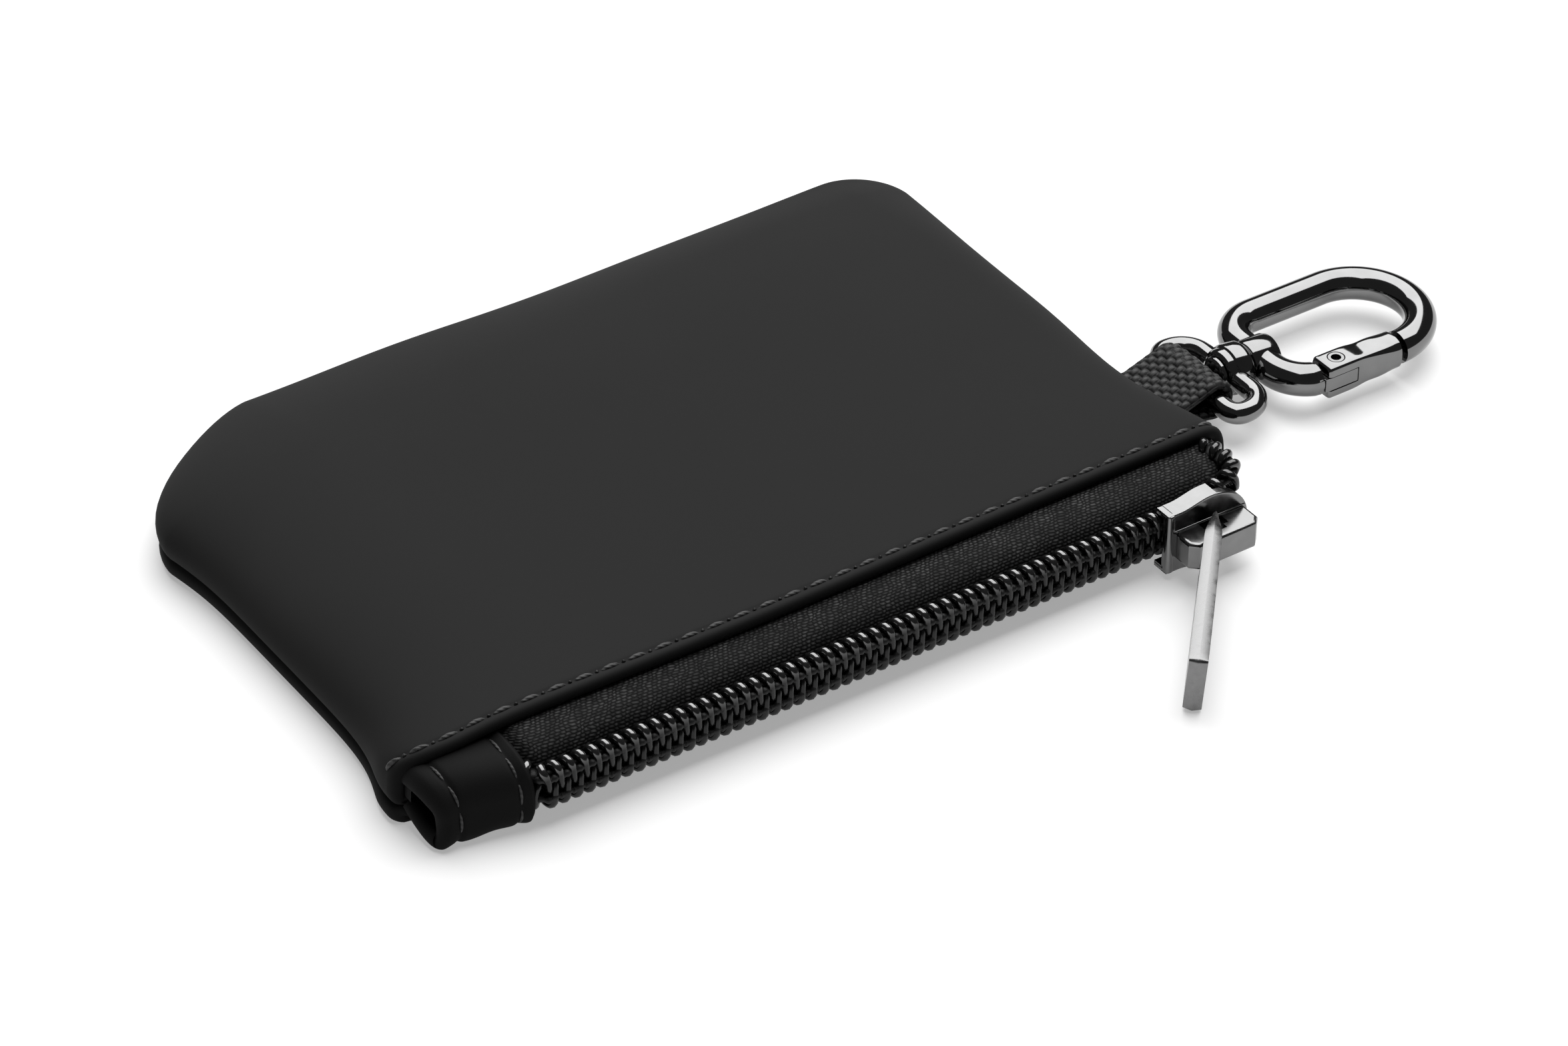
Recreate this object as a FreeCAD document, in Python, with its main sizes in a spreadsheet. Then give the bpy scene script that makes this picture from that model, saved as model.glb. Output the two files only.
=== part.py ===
import FreeCAD
import Part
import Sketcher
import math
import os
from FreeCAD import Placement, Rotation, Vector

# Zipped key case: a flat soft pouch, a coil zip along its front and a swivel clip on a webbing loop.
# Frame: origin on the floor under the middle of the panels, X along the zip towards the clip,
# Y away from the zip, Z up. Millimetres.

document = FreeCAD.newDocument("key_case")
sheet = document.addObject("Spreadsheet::Sheet", "dims")

pouch_sizes = [
    ("pouch_length", 104.0),
    ("pouch_depth", 70.0),
    ("tab_corner_radius", 17.0),
    ("clip_corner_radius", 12.0),
    ("panel_thickness", 0.9),
    ("hem_thickness", 1.6),
    ("hem_width", 5.0),
    ("hem_height", 10.6),
    ("seam_height", 2.2),
    ("seam_slope", 1.1),
    ("belly_height", 11.2),
    ("back_fall", 30.0),
    ("back_rim", 0.9),
    ("shoulder_width", 16.0),
    ("hem_shoulder_width", 4.5),
    ("back_shoulder_width", 6.0),
    ("lining_thickness", 0.3),
    ("lining_gap", 0.1),
    ("cut_overrun", 1.0),
]

zip_sizes = [
    ("zip_stand_off", 6.6),
    ("zip_height", 4.9),
    ("coil_width", 3.1),
    ("coil_depth", 2.4),
    ("coil_overlap", 0.9),
    ("filament", 0.8),
    ("coil_pitch", 2.6),
    ("coil_start_inset", 10.3),
    ("coil_end_inset", 3.4),
    ("coil_spread", 2.1),
    ("spread_lead", 2.6),
    ("spread_length", 8.0),
    ("core_cord_diameter", 0.5),
    ("core_cord_offset", 1.42),
    ("tape_thickness", 0.45),
    ("tape_start_inset", 7.5),
    ("tape_lap", 4.0),
    ("tape_gap", 0.05),
    ("tape_hem_gap", 0.1),
    ("tape_ramp", 5.0),
    ("tape_rise", 0.15),
    ("tape_end_gap", 0.6),
    ("tab_length", 10.6),
    ("tab_overhang", 0.6),
    ("tab_thickness", 0.9),
    ("tab_clearance", 0.15),
    ("tab_knee_drop", 0.8),
    ("tab_top_round", 2.6),
    ("tab_foot_round", 3.1),
    ("tab_lap", 1.6),
    ("tab_foot_lap", 2.2),
    ("floor_gap", 0.1),
]

slider_sizes = [
    ("slider_inset", 16.0),
    ("slider_length", 10.8),
    ("slider_front_width", 8.4),
    ("slider_rear_width", 7.1),
    ("slider_neck", 2.4),
    ("slider_flare", 5.0),
    ("slider_nose_round", 4.1),
    ("slider_plate", 1.1),
    ("slider_back_plate", 1.0),
    ("slider_clearance", 0.15),
    ("flange_length", 5.3),
    ("flange_thickness", 0.7),
    ("diamond_tip", 6.3),
    ("diamond_tip_width", 0.6),
    ("diamond_wide", 8.0),
    ("diamond_width", 2.1),
    ("diamond_front", 10.0),
    ("diamond_front_width", 1.4),
    ("bridge_set_back", 0.9),
    ("bridge_length", 9.3),
    ("bridge_width", 3.4),
    ("bridge_height", 3.0),
    ("bridge_wall", 0.6),
    ("bridge_rear_slope", 1.0),
    ("bridge_front_slope", 1.7),
    ("bridge_round", 0.4),
    ("pawl_thickness", 0.3),
    ("pawl_width", 1.4),
    ("pawl_claw", 0.4),
    ("pawl_clearance", 0.1),
    ("pawl_bite_gap", 0.2),
    ("pull_pivot", 5.2),
    ("pull_pivot_height", 1.1),
    ("pull_length", 22.0),
    ("pull_width", 7.0),
    ("pull_thickness", 1.9),
    ("pull_arm_thickness", 1.1),
    ("pull_bar", 1.2),
    ("pull_eye_length", 5.4),
    ("pull_eye_clearance", 0.3),
    ("pull_end_round", 1.6),
    ("pull_edge_chamfer", 0.4),
    ("pull_window_clearance", 0.3),
    ("pull_angle", 43.0),
]

clip_sizes = [
    ("loop_set_back", 14.4),
    ("loop_height", 4.0),
    ("webbing_width", 10.0),
    ("webbing_thickness", 1.2),
    ("webbing_tuck", 4.0),
    ("webbing_lead", 2.2),
    ("webbing_clearance", 0.1),
    ("strap_height", 3.55),
    ("ring_reach", 5.3),
    ("ring_wire", 2.5),
    ("ring_gap", 11.0),
    ("ring_depth", 6.1),
    ("ring_corner_radius", 3.0),
    ("ring_bar_radius", 2.0),
    ("ring_bar_clearance", 0.1),
    ("barrel_diameter", 5.6),
    ("barrel_length", 3.4),
    ("barrel_band", 1.3),
    ("barrel_band_step", 0.25),
    ("post_diameter", 2.4),
    ("post_head_diameter", 4.2),
    ("post_head_thickness", 1.0),
    ("swivel_clearance", 0.05),
    ("swivel_end_play", 0.15),
    ("hook_wire", 3.8),
    ("hook_width", 14.2),
    ("hook_length", 13.05),
    ("hook_corner_radius", 4.0),
    ("boss_diameter", 5.0),
    ("boss_length", 4.2),
    ("boss_lead", 0.25),
    ("gate_height", 4.2),
    ("gate_width", 3.5),
    ("gate_start", 2.35),
    ("gate_gap", 0.3),
    ("gate_round", 0.7),
    ("gate_heel_round", 1.3),
    ("gate_pivot", 2.1),
    ("gate_pin_diameter", 1.6),
    ("gate_pin_bore", 0.8),
    ("gate_pin_clearance", 0.04),
    ("tongue_thickness", 1.7),
    ("tongue_clearance", 0.1),
    ("tongue_radius", 1.45),
    ("gate_spring_thickness", 0.3),
    ("gate_spring_gap", 0.15),
]

row_number = 0
for group in (pouch_sizes, zip_sizes, slider_sizes, clip_sizes):
    for alias, amount in group:
        row_number += 1
        sheet.set("A%d" % row_number, alias)
        sheet.set("B%d" % row_number, str(amount))
        sheet.setAlias("B%d" % row_number, alias)
document.recompute()


def size(alias):
    return float(sheet.get(alias))


# Places that several pieces share, written as expressions on the sheet.
zip_y = "(-dims.pouch_depth / 2 - dims.zip_stand_off)"
coil_front = "(%s - dims.coil_depth / 2)" % zip_y
tape_front = "(%s + dims.coil_depth / 2 + dims.tape_gap)" % zip_y
tape_back = "(%s + dims.tape_thickness)" % tape_front
plate_inside = "(%s - dims.slider_clearance)" % coil_front
plate_outside = "(%s - dims.slider_plate)" % plate_inside
back_plate_inside = "(%s + dims.slider_clearance)" % tape_back
bridge_top = "(%s - dims.bridge_height)" % plate_outside
slider_rear = "(dims.pouch_length / 2 - dims.slider_inset)"
bridge_rear = "(%s + dims.bridge_set_back)" % slider_rear
pivot_x = "(%s + dims.pull_pivot)" % slider_rear
pivot_y = "(%s - dims.pull_pivot_height)" % plate_outside
loop_y = "(-dims.pouch_depth / 2 + dims.loop_set_back)"
ring_bar_x = "(dims.pouch_length / 2 + dims.ring_reach)"
ring_side = "(dims.ring_gap / 2 + dims.ring_wire / 2)"
barrel_x = "(%s + dims.ring_depth)" % ring_bar_x
barrel_face = "(%s + dims.barrel_length / 2)" % barrel_x
boss_x = "(%s + dims.swivel_end_play)" % barrel_face
hook_side_x = "(%s + dims.boss_lead + dims.hook_wire / 2)" % boss_x
hook_end_x = "(%s + dims.hook_length)" % hook_side_x
back_strand_y = "(%s + dims.hook_width / 2)" % loop_y
gate_y = "(%s - dims.hook_width / 2)" % loop_y
gate_x = "(%s + dims.gate_start)" % hook_side_x
gate_end_x = "(%s - dims.gate_gap)" % hook_end_x
pin_x = "(%s + dims.gate_pivot)" % gate_x


def value(expression):
    return float(sheet.evalExpression(expression))


def bind(thing, expressions):
    for target, expression in expressions.items():
        thing.setExpression(target, expression)
    return thing


def at(x, y, z):
    return {"Placement.Base.x": x, "Placement.Base.y": y, "Placement.Base.z": z}


def box(name, x, y, z, length, width, height):
    piece = document.addObject("Part::Box", name)
    bind(piece, at(x, y, z))
    return bind(piece, {"Length": length, "Width": width, "Height": height})


along = {
    "x": Rotation(Vector(0, 1, 0), 90),
    "y": Rotation(Vector(1, 0, 0), -90),
    "z": Rotation(),
}


def rod(name, axis, x, y, z, radius, length):
    piece = document.addObject("Part::Cylinder", name)
    piece.Placement = Placement(Vector(), along[axis])
    bind(piece, at(x, y, z))
    return bind(piece, {"Radius": radius, "Height": length})


# Bent wire is drawn with flat sides, which stay within a few hundredths of a millimetre of round.
wire_sides = 16


def wire(name, axis, x, y, z, radius, length):
    piece = document.addObject("Part::Prism", name)
    piece.Polygon = wire_sides
    piece.Placement = Placement(Vector(), along[axis])
    bind(piece, at(x, y, z))
    return bind(piece, {"Circumradius": radius, "Height": length})


def bend(name, x, y, z, bend_radius, radius, quarter, sweep):
    # Wire bent in a level plane about (x, y), from a quarter turn of that number through sweep degrees.
    start_x, start_y = ((1, 0), (0, 1), (-1, 0), (0, -1))[quarter]
    section = document.addObject("Part::RegularPolygon", name + "_section")
    section.Polygon = wire_sides
    turned = Rotation(Vector(0, 0, 1), 90 * quarter).multiply(Rotation(Vector(1, 0, 0), 90))
    section.Placement = Placement(Vector(), turned)
    bind(section, at("%s + %d * %s" % (x, start_x, bend_radius), "%s + %d * %s" % (y, start_y, bend_radius), z))
    bind(section, {"Circumradius": radius})
    piece = document.addObject("Part::Revolution", name)
    piece.Source = section
    piece.Axis = Vector(0, 0, 1)
    piece.Angle = sweep
    piece.Solid = True
    return bind(piece, {"Base.x": x, "Base.y": y, "Base.z": z})


def fuse(name, pieces):
    piece = document.addObject("Part::MultiFuse", name)
    piece.Shapes = pieces
    return piece


def cut(name, base, tool):
    piece = document.addObject("Part::Cut", name)
    piece.Base = base
    piece.Tool = tool
    return piece


def named(piece, label):
    piece.Label = label
    return piece


def new_body(label):
    return named(document.addObject("PartDesign::Body", label), label)


def plane_of(body, role):
    return [plane for plane in body.Origin.OriginFeatures if plane.Role == role][0]


def polygon_sketch(body, name, role, offset, points):
    # Closed outline of straight edges; every corner is held by two sizes from the sheet.
    sketch = body.newObject("Sketcher::SketchObject", name)
    sketch.AttachmentSupport = [(plane_of(body, role), "")]
    sketch.MapMode = "FlatFace"
    bind(sketch, {"AttachmentOffset.Base.z": offset})
    corners = [Vector(value(across), value(up), 0) for across, up in points]
    for index, corner in enumerate(corners):
        sketch.addGeometry(Part.LineSegment(corner, corners[(index + 1) % len(corners)]), False)
    for index in range(len(corners)):
        following = (index + 1) % len(corners)
        sketch.addConstraint(Sketcher.Constraint("Coincident", index, 2, following, 1))
    for index, (across, up) in enumerate(points):
        for kind, expression, amount in (("DistanceX", across, corners[index].x), ("DistanceY", up, corners[index].y)):
            number = sketch.addConstraint(Sketcher.Constraint(kind, -1, 1, index, 1, amount))
            sketch.setExpression("Constraints[%d]" % number, expression)
    return sketch


def circle_sketch(body, name, role, offset, across, up, radius):
    sketch = body.newObject("Sketcher::SketchObject", name)
    sketch.AttachmentSupport = [(plane_of(body, role), "")]
    sketch.MapMode = "FlatFace"
    bind(sketch, {"AttachmentOffset.Base.z": offset})
    centre = Vector(value(across), value(up), 0)
    sketch.addGeometry(Part.Circle(centre, Vector(0, 0, 1), value(radius)), False)
    for kind, expression, amount in (("DistanceX", across, centre.x), ("DistanceY", up, centre.y)):
        number = sketch.addConstraint(Sketcher.Constraint(kind, -1, 1, 0, 3, amount))
        sketch.setExpression("Constraints[%d]" % number, expression)
    number = sketch.addConstraint(Sketcher.Constraint("Radius", 0, value(radius)))
    sketch.setExpression("Constraints[%d]" % number, radius)
    return sketch


def rectangle(low_x, high_x, low_y, high_y):
    return [(low_x, low_y), (high_x, low_y), (high_x, high_y), (low_x, high_y)]


def pad(body, name, sketch, length, backwards=False):
    feature = body.newObject("PartDesign::Pad", name)
    feature.Profile = sketch
    feature.Reversed = backwards
    bind(feature, {"Length": length})
    document.recompute()
    return feature


def pocket(body, name, sketch, length, backwards=False):
    volume = body.Shape.Volume
    feature = body.newObject("PartDesign::Pocket", name)
    feature.Profile = sketch
    feature.Reversed = backwards
    bind(feature, {"Length": length})
    document.recompute()
    if body.Shape.Volume >= volume:
        raise RuntimeError("%s cuts nothing" % name)
    return feature


def dress(body, name, kind, wanted, amount):
    # Round or chamfer the edges of the body's newest feature whose middle point is wanted.
    base = body.Tip
    picked = []
    for index, edge in enumerate(base.Shape.Edges):
        middle = edge.valueAt((edge.FirstParameter + edge.LastParameter) / 2)
        if wanted(edge, middle):
            picked.append("Edge%d" % (index + 1))
    feature = body.newObject("PartDesign::" + kind, name)
    feature.Base = (base, picked)
    bind(feature, {"Radius" if kind == "Fillet" else "Size": amount})
    document.recompute()
    return feature


near = 1e-4


def same(first, second):
    return abs(first - second) < near


def upright(edge):
    start, finish = [vertex.Point for vertex in edge.Vertexes[:2]] if len(edge.Vertexes) > 1 else (None, None)
    return start is not None and same(start.x, finish.x) and same(start.y, finish.y)


def shaped(label, shape):
    piece = document.addObject("Part::Feature", label)
    piece.Shape = shape
    piece.Placement = Placement()
    return named(piece, label)


# Pouch panels

half_length = size("pouch_length") / 2
half_depth = size("pouch_depth") / 2


def corner_inset(radius, back_distance):
    # How far a rounded back corner has drawn in, back_distance in front of the back edge.
    if back_distance >= radius:
        return 0.0
    return radius - math.sqrt(max(radius ** 2 - (radius - back_distance) ** 2, 0.0))


def arch_wire(y, left, right, drop, top, reach, arc_steps):
    # Level bottom edge, then a shoulder along two tangent arcs up each side and a level top edge.
    # The arcs meet where the shoulder's heading has turned by meet, and their radii follow from that.
    # They start at the seam; with a drop the sides run straight down below it. Each arc is drawn in
    # arc_steps straight chords.
    base = size("seam_height")
    rise = top - base
    meet = math.atan2(reach, rise)
    sine, cosine = math.sin(meet), math.cos(meet)
    excess = sine + cosine - 1
    low_radius = (rise * cosine - reach * (1 - sine)) / excess
    high_radius = (reach * sine - rise * (1 - cosine)) / excess

    def shoulder(edge, inward):
        def low_point(angle):
            across = low_radius * (1 - math.cos(angle))
            return Vector(edge + inward * across, y, base + low_radius * math.sin(angle))

        def high_point(angle):
            across = reach - high_radius * math.cos(angle)
            return Vector(edge + inward * across, y, top - high_radius * (1 - math.sin(angle)))

        shares = [step / arc_steps for step in range(arc_steps + 1)]
        spots = [low_point(meet * share) for share in shares]
        spots += [high_point(meet + (math.pi / 2 - meet) * share) for share in shares[1:]]
        if drop > 0:
            spots.insert(0, Vector(edge, y, base - drop))
        return [Part.LineSegment(first, second).toShape() for first, second in zip(spots, spots[1:])]

    left_edges = shoulder(left, 1)
    right_edges = shoulder(right, -1)
    crown = Part.LineSegment(Vector(left + reach, y, top), Vector(right - reach, y, top)).toShape()
    floor = Part.LineSegment(Vector(right, y, base - drop), Vector(left, y, base - drop)).toShape()
    return Part.Wire(left_edges + [crown] + right_edges[::-1] + [floor])


belly_shares = (0.0, 0.2, 0.5)
fall_shares = (0.0, 0.36, 0.64, 0.86, 1.0)
fall_start = half_depth - size("back_fall")
rim_height = size("seam_height") + size("back_rim")


def form_at(y):
    # Top height and shoulder width of the upper panel's outer face at y.
    if y <= fall_start:
        mix = math.sin((y + half_depth) / (fall_start + half_depth) * math.pi / 2)
        top = size("hem_height") + (size("belly_height") - size("hem_height")) * mix
        return top, size("hem_shoulder_width") + (size("shoulder_width") - size("hem_shoulder_width")) * mix
    lasting = math.sqrt(max(1 - ((y - fall_start) / size("back_fall")) ** 2, 0.0))
    top = rim_height + (size("belly_height") - rim_height) * lasting
    return top, size("back_shoulder_width") + (size("shoulder_width") - size("back_shoulder_width")) * lasting


form_stops = [-half_depth + (fall_start + half_depth) * share for share in belly_shares]
form_stops += [fall_start + size("back_fall") * math.sin(share * math.pi / 2) for share in fall_shares]


def pillow(inset, front, drop, stops, arc_steps):
    # Solid of the upper panel's form drawn in by inset on every side, from y = front to the back,
    # with a section at each stop. Its level underside lies drop below the seam.
    back = half_depth - inset
    inner_stops = [y for y in stops if front + size("hem_thickness") < y < back - inset]
    wires = []
    for y in [front] + inner_stops + [back]:
        top, reach = form_at(y)
        left = -half_length + inset + corner_inset(size("tab_corner_radius") - inset, back - y)
        right = half_length - inset - corner_inset(size("clip_corner_radius") - inset, back - y)
        wires.append(arch_wire(y, left, right, drop, top - inset, reach, arc_steps))
    return Part.makeLoft(wires, True, True)


overrun = size("cut_overrun")
hem_back = -half_depth + size("hem_width")
outer_steps = 4
hidden_steps = 2
panel = pillow(0.0, -half_depth, 0.0, form_stops, outer_steps)
hollow = pillow(size("panel_thickness"), hem_back, overrun, form_stops, hidden_steps)
mouth_wires = [
    arch_wire(
        y,
        -half_length + size("panel_thickness"),
        half_length - size("panel_thickness"),
        overrun,
        size("hem_height") - size("hem_thickness"),
        size("hem_shoulder_width") - size("panel_thickness"),
        hidden_steps,
    )
    for y in (-half_depth - overrun, hem_back)
]
mouth = Part.makeLoft(mouth_wires, True, True)
slot_margin = size("webbing_clearance")
slot_reach = size("webbing_tuck") + slot_margin
strap_slot = Part.makeBox(
    slot_reach + overrun,
    size("webbing_width") + 2 * slot_margin,
    size("strap_height") + size("webbing_thickness") + slot_margin - size("seam_height") + overrun,
    Vector(
        half_length - slot_reach,
        value(loop_y) - size("webbing_width") / 2 - slot_margin,
        size("seam_height") - overrun,
    ),
)
shaped("top_panel", panel.cut(hollow).cut(mouth).cut(strap_slot))

lining_outside = size("panel_thickness") + size("lining_gap")
lining_inside = lining_outside + size("lining_thickness")
lining_room = pillow(lining_inside, hem_back - overrun, overrun, form_stops, hidden_steps)
lining = pillow(lining_outside, hem_back, 0.0, form_stops, hidden_steps).cut(lining_room)
shaped("top_lining", lining.cut(strap_slot))


def rounded_sketch(body, name, offset, inset, front):
    # Panel outline drawn in by inset, square at the front, with its two unequal back corners.
    sketch = body.newObject("Sketcher::SketchObject", name)
    sketch.AttachmentSupport = [(plane_of(body, "XY_Plane"), "")]
    sketch.MapMode = "FlatFace"
    bind(sketch, {"AttachmentOffset.Base.z": offset})
    left = "-dims.pouch_length / 2 + %s" % inset
    right = "dims.pouch_length / 2 - %s" % inset
    back = "dims.pouch_depth / 2 - %s" % inset
    tab_radius = "dims.tab_corner_radius - %s" % inset
    clip_radius = "dims.clip_corner_radius - %s" % inset
    x_low, x_high, y_low, y_high = value(left), value(right), value(front), value(back)
    tab_round, clip_round = value(tab_radius), value(clip_radius)
    normal = Vector(0, 0, 1)
    clip_circle = Part.Circle(Vector(x_high - clip_round, y_high - clip_round, 0), normal, clip_round)
    tab_circle = Part.Circle(Vector(x_low + tab_round, y_high - tab_round, 0), normal, tab_round)
    sketch.addGeometry([
        Part.LineSegment(Vector(x_low, y_low, 0), Vector(x_high, y_low, 0)),
        Part.LineSegment(Vector(x_high, y_low, 0), Vector(x_high, y_high - clip_round, 0)),
        Part.ArcOfCircle(clip_circle, 0, math.pi / 2),
        Part.LineSegment(Vector(x_high - clip_round, y_high, 0), Vector(x_low + tab_round, y_high, 0)),
        Part.ArcOfCircle(tab_circle, math.pi / 2, math.pi),
        Part.LineSegment(Vector(x_low, y_high - tab_round, 0), Vector(x_low, y_low, 0)),
    ], False)
    for first, second, kind in ((0, 1, "Coincident"), (1, 2, "Tangent"), (2, 3, "Tangent"), (3, 4, "Tangent"),
                                (4, 5, "Tangent"), (5, 0, "Coincident")):
        sketch.addConstraint(Sketcher.Constraint(kind, first, 2, second, 1))
    for index, kind in ((0, "Horizontal"), (1, "Vertical"), (3, "Horizontal"), (5, "Vertical")):
        sketch.addConstraint(Sketcher.Constraint(kind, index))
    places = (("DistanceX", 0, left, x_low), ("DistanceY", 0, front, y_low), ("DistanceX", 1, right, x_high),
              ("DistanceY", 3, back, y_high))
    for kind, index, expression, amount in places:
        number = sketch.addConstraint(Sketcher.Constraint(kind, -1, 1, index, 1, amount))
        sketch.setExpression("Constraints[%d]" % number, expression)
    for index, expression, amount in ((2, clip_radius, clip_round), (4, tab_radius, tab_round)):
        number = sketch.addConstraint(Sketcher.Constraint("Radius", index, amount))
        sketch.setExpression("Constraints[%d]" % number, expression)
    return sketch


panel_front = "-dims.pouch_depth / 2"
tray_front = "-dims.pouch_depth / 2 + dims.hem_width"
lining_inset = "(dims.panel_thickness + dims.lining_gap)"

bottom_panel = new_body("bottom_panel")
pad(bottom_panel, "bottom_sheet", rounded_sketch(bottom_panel, "bottom_outline", "0", "0", panel_front),
    "dims.seam_height")
dress(bottom_panel, "bottom_edge_slope", "Chamfer",
      lambda edge, middle: same(middle.z, 0) and middle.y > -half_depth + near, "dims.seam_slope")
pocket(bottom_panel, "tray_pocket",
       rounded_sketch(bottom_panel, "tray_outline", "dims.panel_thickness", "dims.panel_thickness", tray_front),
       "dims.seam_height", True)
hem_hollow = polygon_sketch(
    bottom_panel, "hem_hollow", "XY_Plane", "dims.hem_thickness",
    rectangle("-dims.pouch_length / 2 + dims.panel_thickness", "dims.pouch_length / 2 - dims.panel_thickness",
              panel_front + " - dims.cut_overrun", tray_front))
pocket(bottom_panel, "hem_pocket", hem_hollow, "dims.seam_height", True)

bottom_lining = new_body("bottom_lining")
pad(bottom_lining, "lining_sheet",
    rounded_sketch(bottom_lining, "lining_outline", lining_inset, lining_inset, tray_front), "dims.lining_thickness")

# Zip: two tapes, two coils with their core cords, and the coated tab over the left end

zip_line = value(zip_y)
zip_mid = size("zip_height")
half_overlap = size("coil_overlap") / 2
coil_tail = size("coil_width") - half_overlap
wedge_edge = size("diamond_width") / 2 + size("slider_clearance")
tape_face = value(tape_front)
tape_rear = value(tape_back)
slider_half = size("slider_front_width") / 2
slider_rear_x = value(slider_rear)
coil_start_x = -half_length + size("coil_start_inset")
tape_start_x = -half_length + size("tape_start_inset")
coil_end_x = half_length - size("coil_end_inset")
spread_x = slider_rear_x + size("spread_lead")
tab_left = -half_length - size("tab_overhang")
tab_right = tab_left + size("tab_length")
tab_top = size("hem_height") - size("hem_thickness")


def tape_wire(x, side, shelf, knee):
    # Section of one tape at x: a shelf under the hem, a level run behind the slider, then the face
    # that carries the coil. side is 1 for the upper tape and -1 for the lower; shelf and knee are
    # heights of the outer face.
    thick = size("tape_thickness")
    hem_edge = -half_depth
    lap = hem_edge + size("tape_lap")
    behind = value(back_plate_inside) + size("slider_back_plate") + size("slider_clearance")
    edge = zip_mid + side * wedge_edge
    corners = [
        (lap, shelf),
        (hem_edge, shelf),
        (behind, knee),
        (tape_face, knee),
        (tape_face, edge),
        (tape_rear, edge),
        (tape_rear, knee - side * thick),
        (behind, knee - side * thick),
        (hem_edge, shelf - side * thick),
        (lap, shelf - side * thick),
    ]
    points = [Vector(x, y, z) for y, z in corners]
    return Part.makePolygon(points + points[:1])


def tape(label, side, shelf, tab_shelf, plain_knee, slider_knee):
    ramp = size("tape_ramp")
    tab_knee = plain_knee - side * size("tab_knee_drop")
    slider_end = slider_rear_x + size("slider_length")
    stations = [
        (tape_start_x, tab_shelf, tab_knee),
        (tab_right + size("tab_clearance"), tab_shelf, tab_knee),
        (tab_right + ramp, shelf, plain_knee),
        (slider_rear_x - ramp, shelf, plain_knee),
        (slider_rear_x - size("slider_clearance"), shelf, slider_knee),
        (slider_end + size("tape_end_gap"), shelf, slider_knee),
    ]
    wires = [tape_wire(x, side, low, knee) for x, low, knee in stations]
    return shaped(label, Part.makeLoft(wires, True, True))


knee_margin = size("tape_rise") + size("tape_thickness")
tape(
    "upper_zip_tape", 1,
    tab_top - size("tape_hem_gap"),
    tab_top - size("tab_thickness") - size("tab_clearance"),
    zip_mid + coil_tail,
    zip_mid + slider_half + knee_margin,
)
lower_shelf = size("hem_thickness") + size("tape_hem_gap")
tape(
    "lower_zip_tape", -1,
    lower_shelf,
    lower_shelf,
    zip_mid - coil_tail,
    zip_mid - slider_half - knee_margin,
)


spread_steps = 8


def chain_axis(side, offset):
    # Middle line of one coil: straight along the zip, then an S of two equal arcs away from the other
    # coil, then straight to the end. Returns a function from travelled length to place and lean, the
    # whole length, and the lengths at which the S is stepped.
    start = Vector(coil_start_x, zip_line, zip_mid + side * offset)
    run = spread_x - coil_start_x
    rise = size("coil_spread")
    turn = 2 * math.atan2(rise, size("spread_length"))
    radius = size("spread_length") / (2 * math.sin(turn))
    arc = radius * turn
    last = coil_end_x - spread_x - size("spread_length")

    def place(travel):
        if travel <= run:
            return start + Vector(travel, 0, 0), 0.0
        beyond = travel - run
        knee = start + Vector(run, 0, 0)
        if beyond <= arc:
            angle = beyond / radius
            return knee + Vector(radius * math.sin(angle), 0, side * radius * (1 - math.cos(angle))), angle
        if beyond <= 2 * arc:
            angle = (2 * arc - beyond) / radius
            far = Vector(size("spread_length"), 0, side * rise)
            return knee + far - Vector(radius * math.sin(angle), 0, side * radius * (1 - math.cos(angle))), angle
        return knee + Vector(size("spread_length") + beyond - 2 * arc, 0, side * rise), 0.0

    bends = [run + 2 * arc * index / spread_steps for index in range(spread_steps + 1)]
    return place, run + 2 * arc + last, bends


def mitred_tube(points, profile):
    # One unbroken tube along straight steps, mitred where two steps meet.
    return Part.makePolygon(points).makePipeShell([Part.makePolygon(profile + profile[:1])], True, False, 1)


steps_per_turn = 6


def coil(label, side):
    # One filament wound round its own axis as a flat oval. The lower coil runs half a pitch behind.
    half_high = (size("coil_width") - size("filament")) / 2
    half_deep = (size("coil_depth") - size("filament")) / 2
    place, total, bends = chain_axis(side, coil_tail - size("coil_width") / 2)
    turns = round(total / size("coil_pitch"))
    pitch = total / turns
    shift = 0.0 if side > 0 else pitch / 2

    def filament_at(travel):
        spot, angle = place(travel)
        outward = Vector(-math.sin(angle), 0, side * math.cos(angle))
        phase = 2 * math.pi * (travel + shift) / pitch
        return spot + outward * (half_high * math.cos(phase)) + Vector(0, half_deep * math.sin(phase), 0)

    step = pitch / steps_per_turn
    points = [filament_at(step * index) for index in range(turns * steps_per_turn + 1)]
    heading = (points[1] - points[0]).normalize()
    across = heading.cross(Vector(1, 0, 0)).normalize() * (size("filament") / 2)
    other = heading.cross(across)
    start = points[0]
    tube = mitred_tube(points, [start + across, start + other, start - across, start - other])
    one_turn = range(steps_per_turn)
    gap = min(
        (points[first] - points[second]).Length
        for first in one_turn
        for second in range(first + steps_per_turn // 2, first + 2 * steps_per_turn)
    ) - size("filament")
    print("%s: %d turns, pitch %.2f, least gap to itself %.2f mm" % (label, turns, pitch, gap))
    return shaped(label, tube)


cord_sides = 6


def core_cord(label, side):
    place, total, bends = chain_axis(side, size("core_cord_offset"))
    points = [place(travel)[0] for travel in [0.0] + bends + [total]]
    radius = size("core_cord_diameter") / 2
    angles = [2 * math.pi * index / cord_sides for index in range(cord_sides)]
    profile = [points[0] + Vector(0, math.cos(angle), math.sin(angle)) * radius for angle in angles]
    return shaped(label, mitred_tube(points, profile))


for side, word in ((1, "upper"), (-1, "lower")):
    coil(word + "_coil", side)
    core_cord(word + "_core_cord", side)


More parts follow.
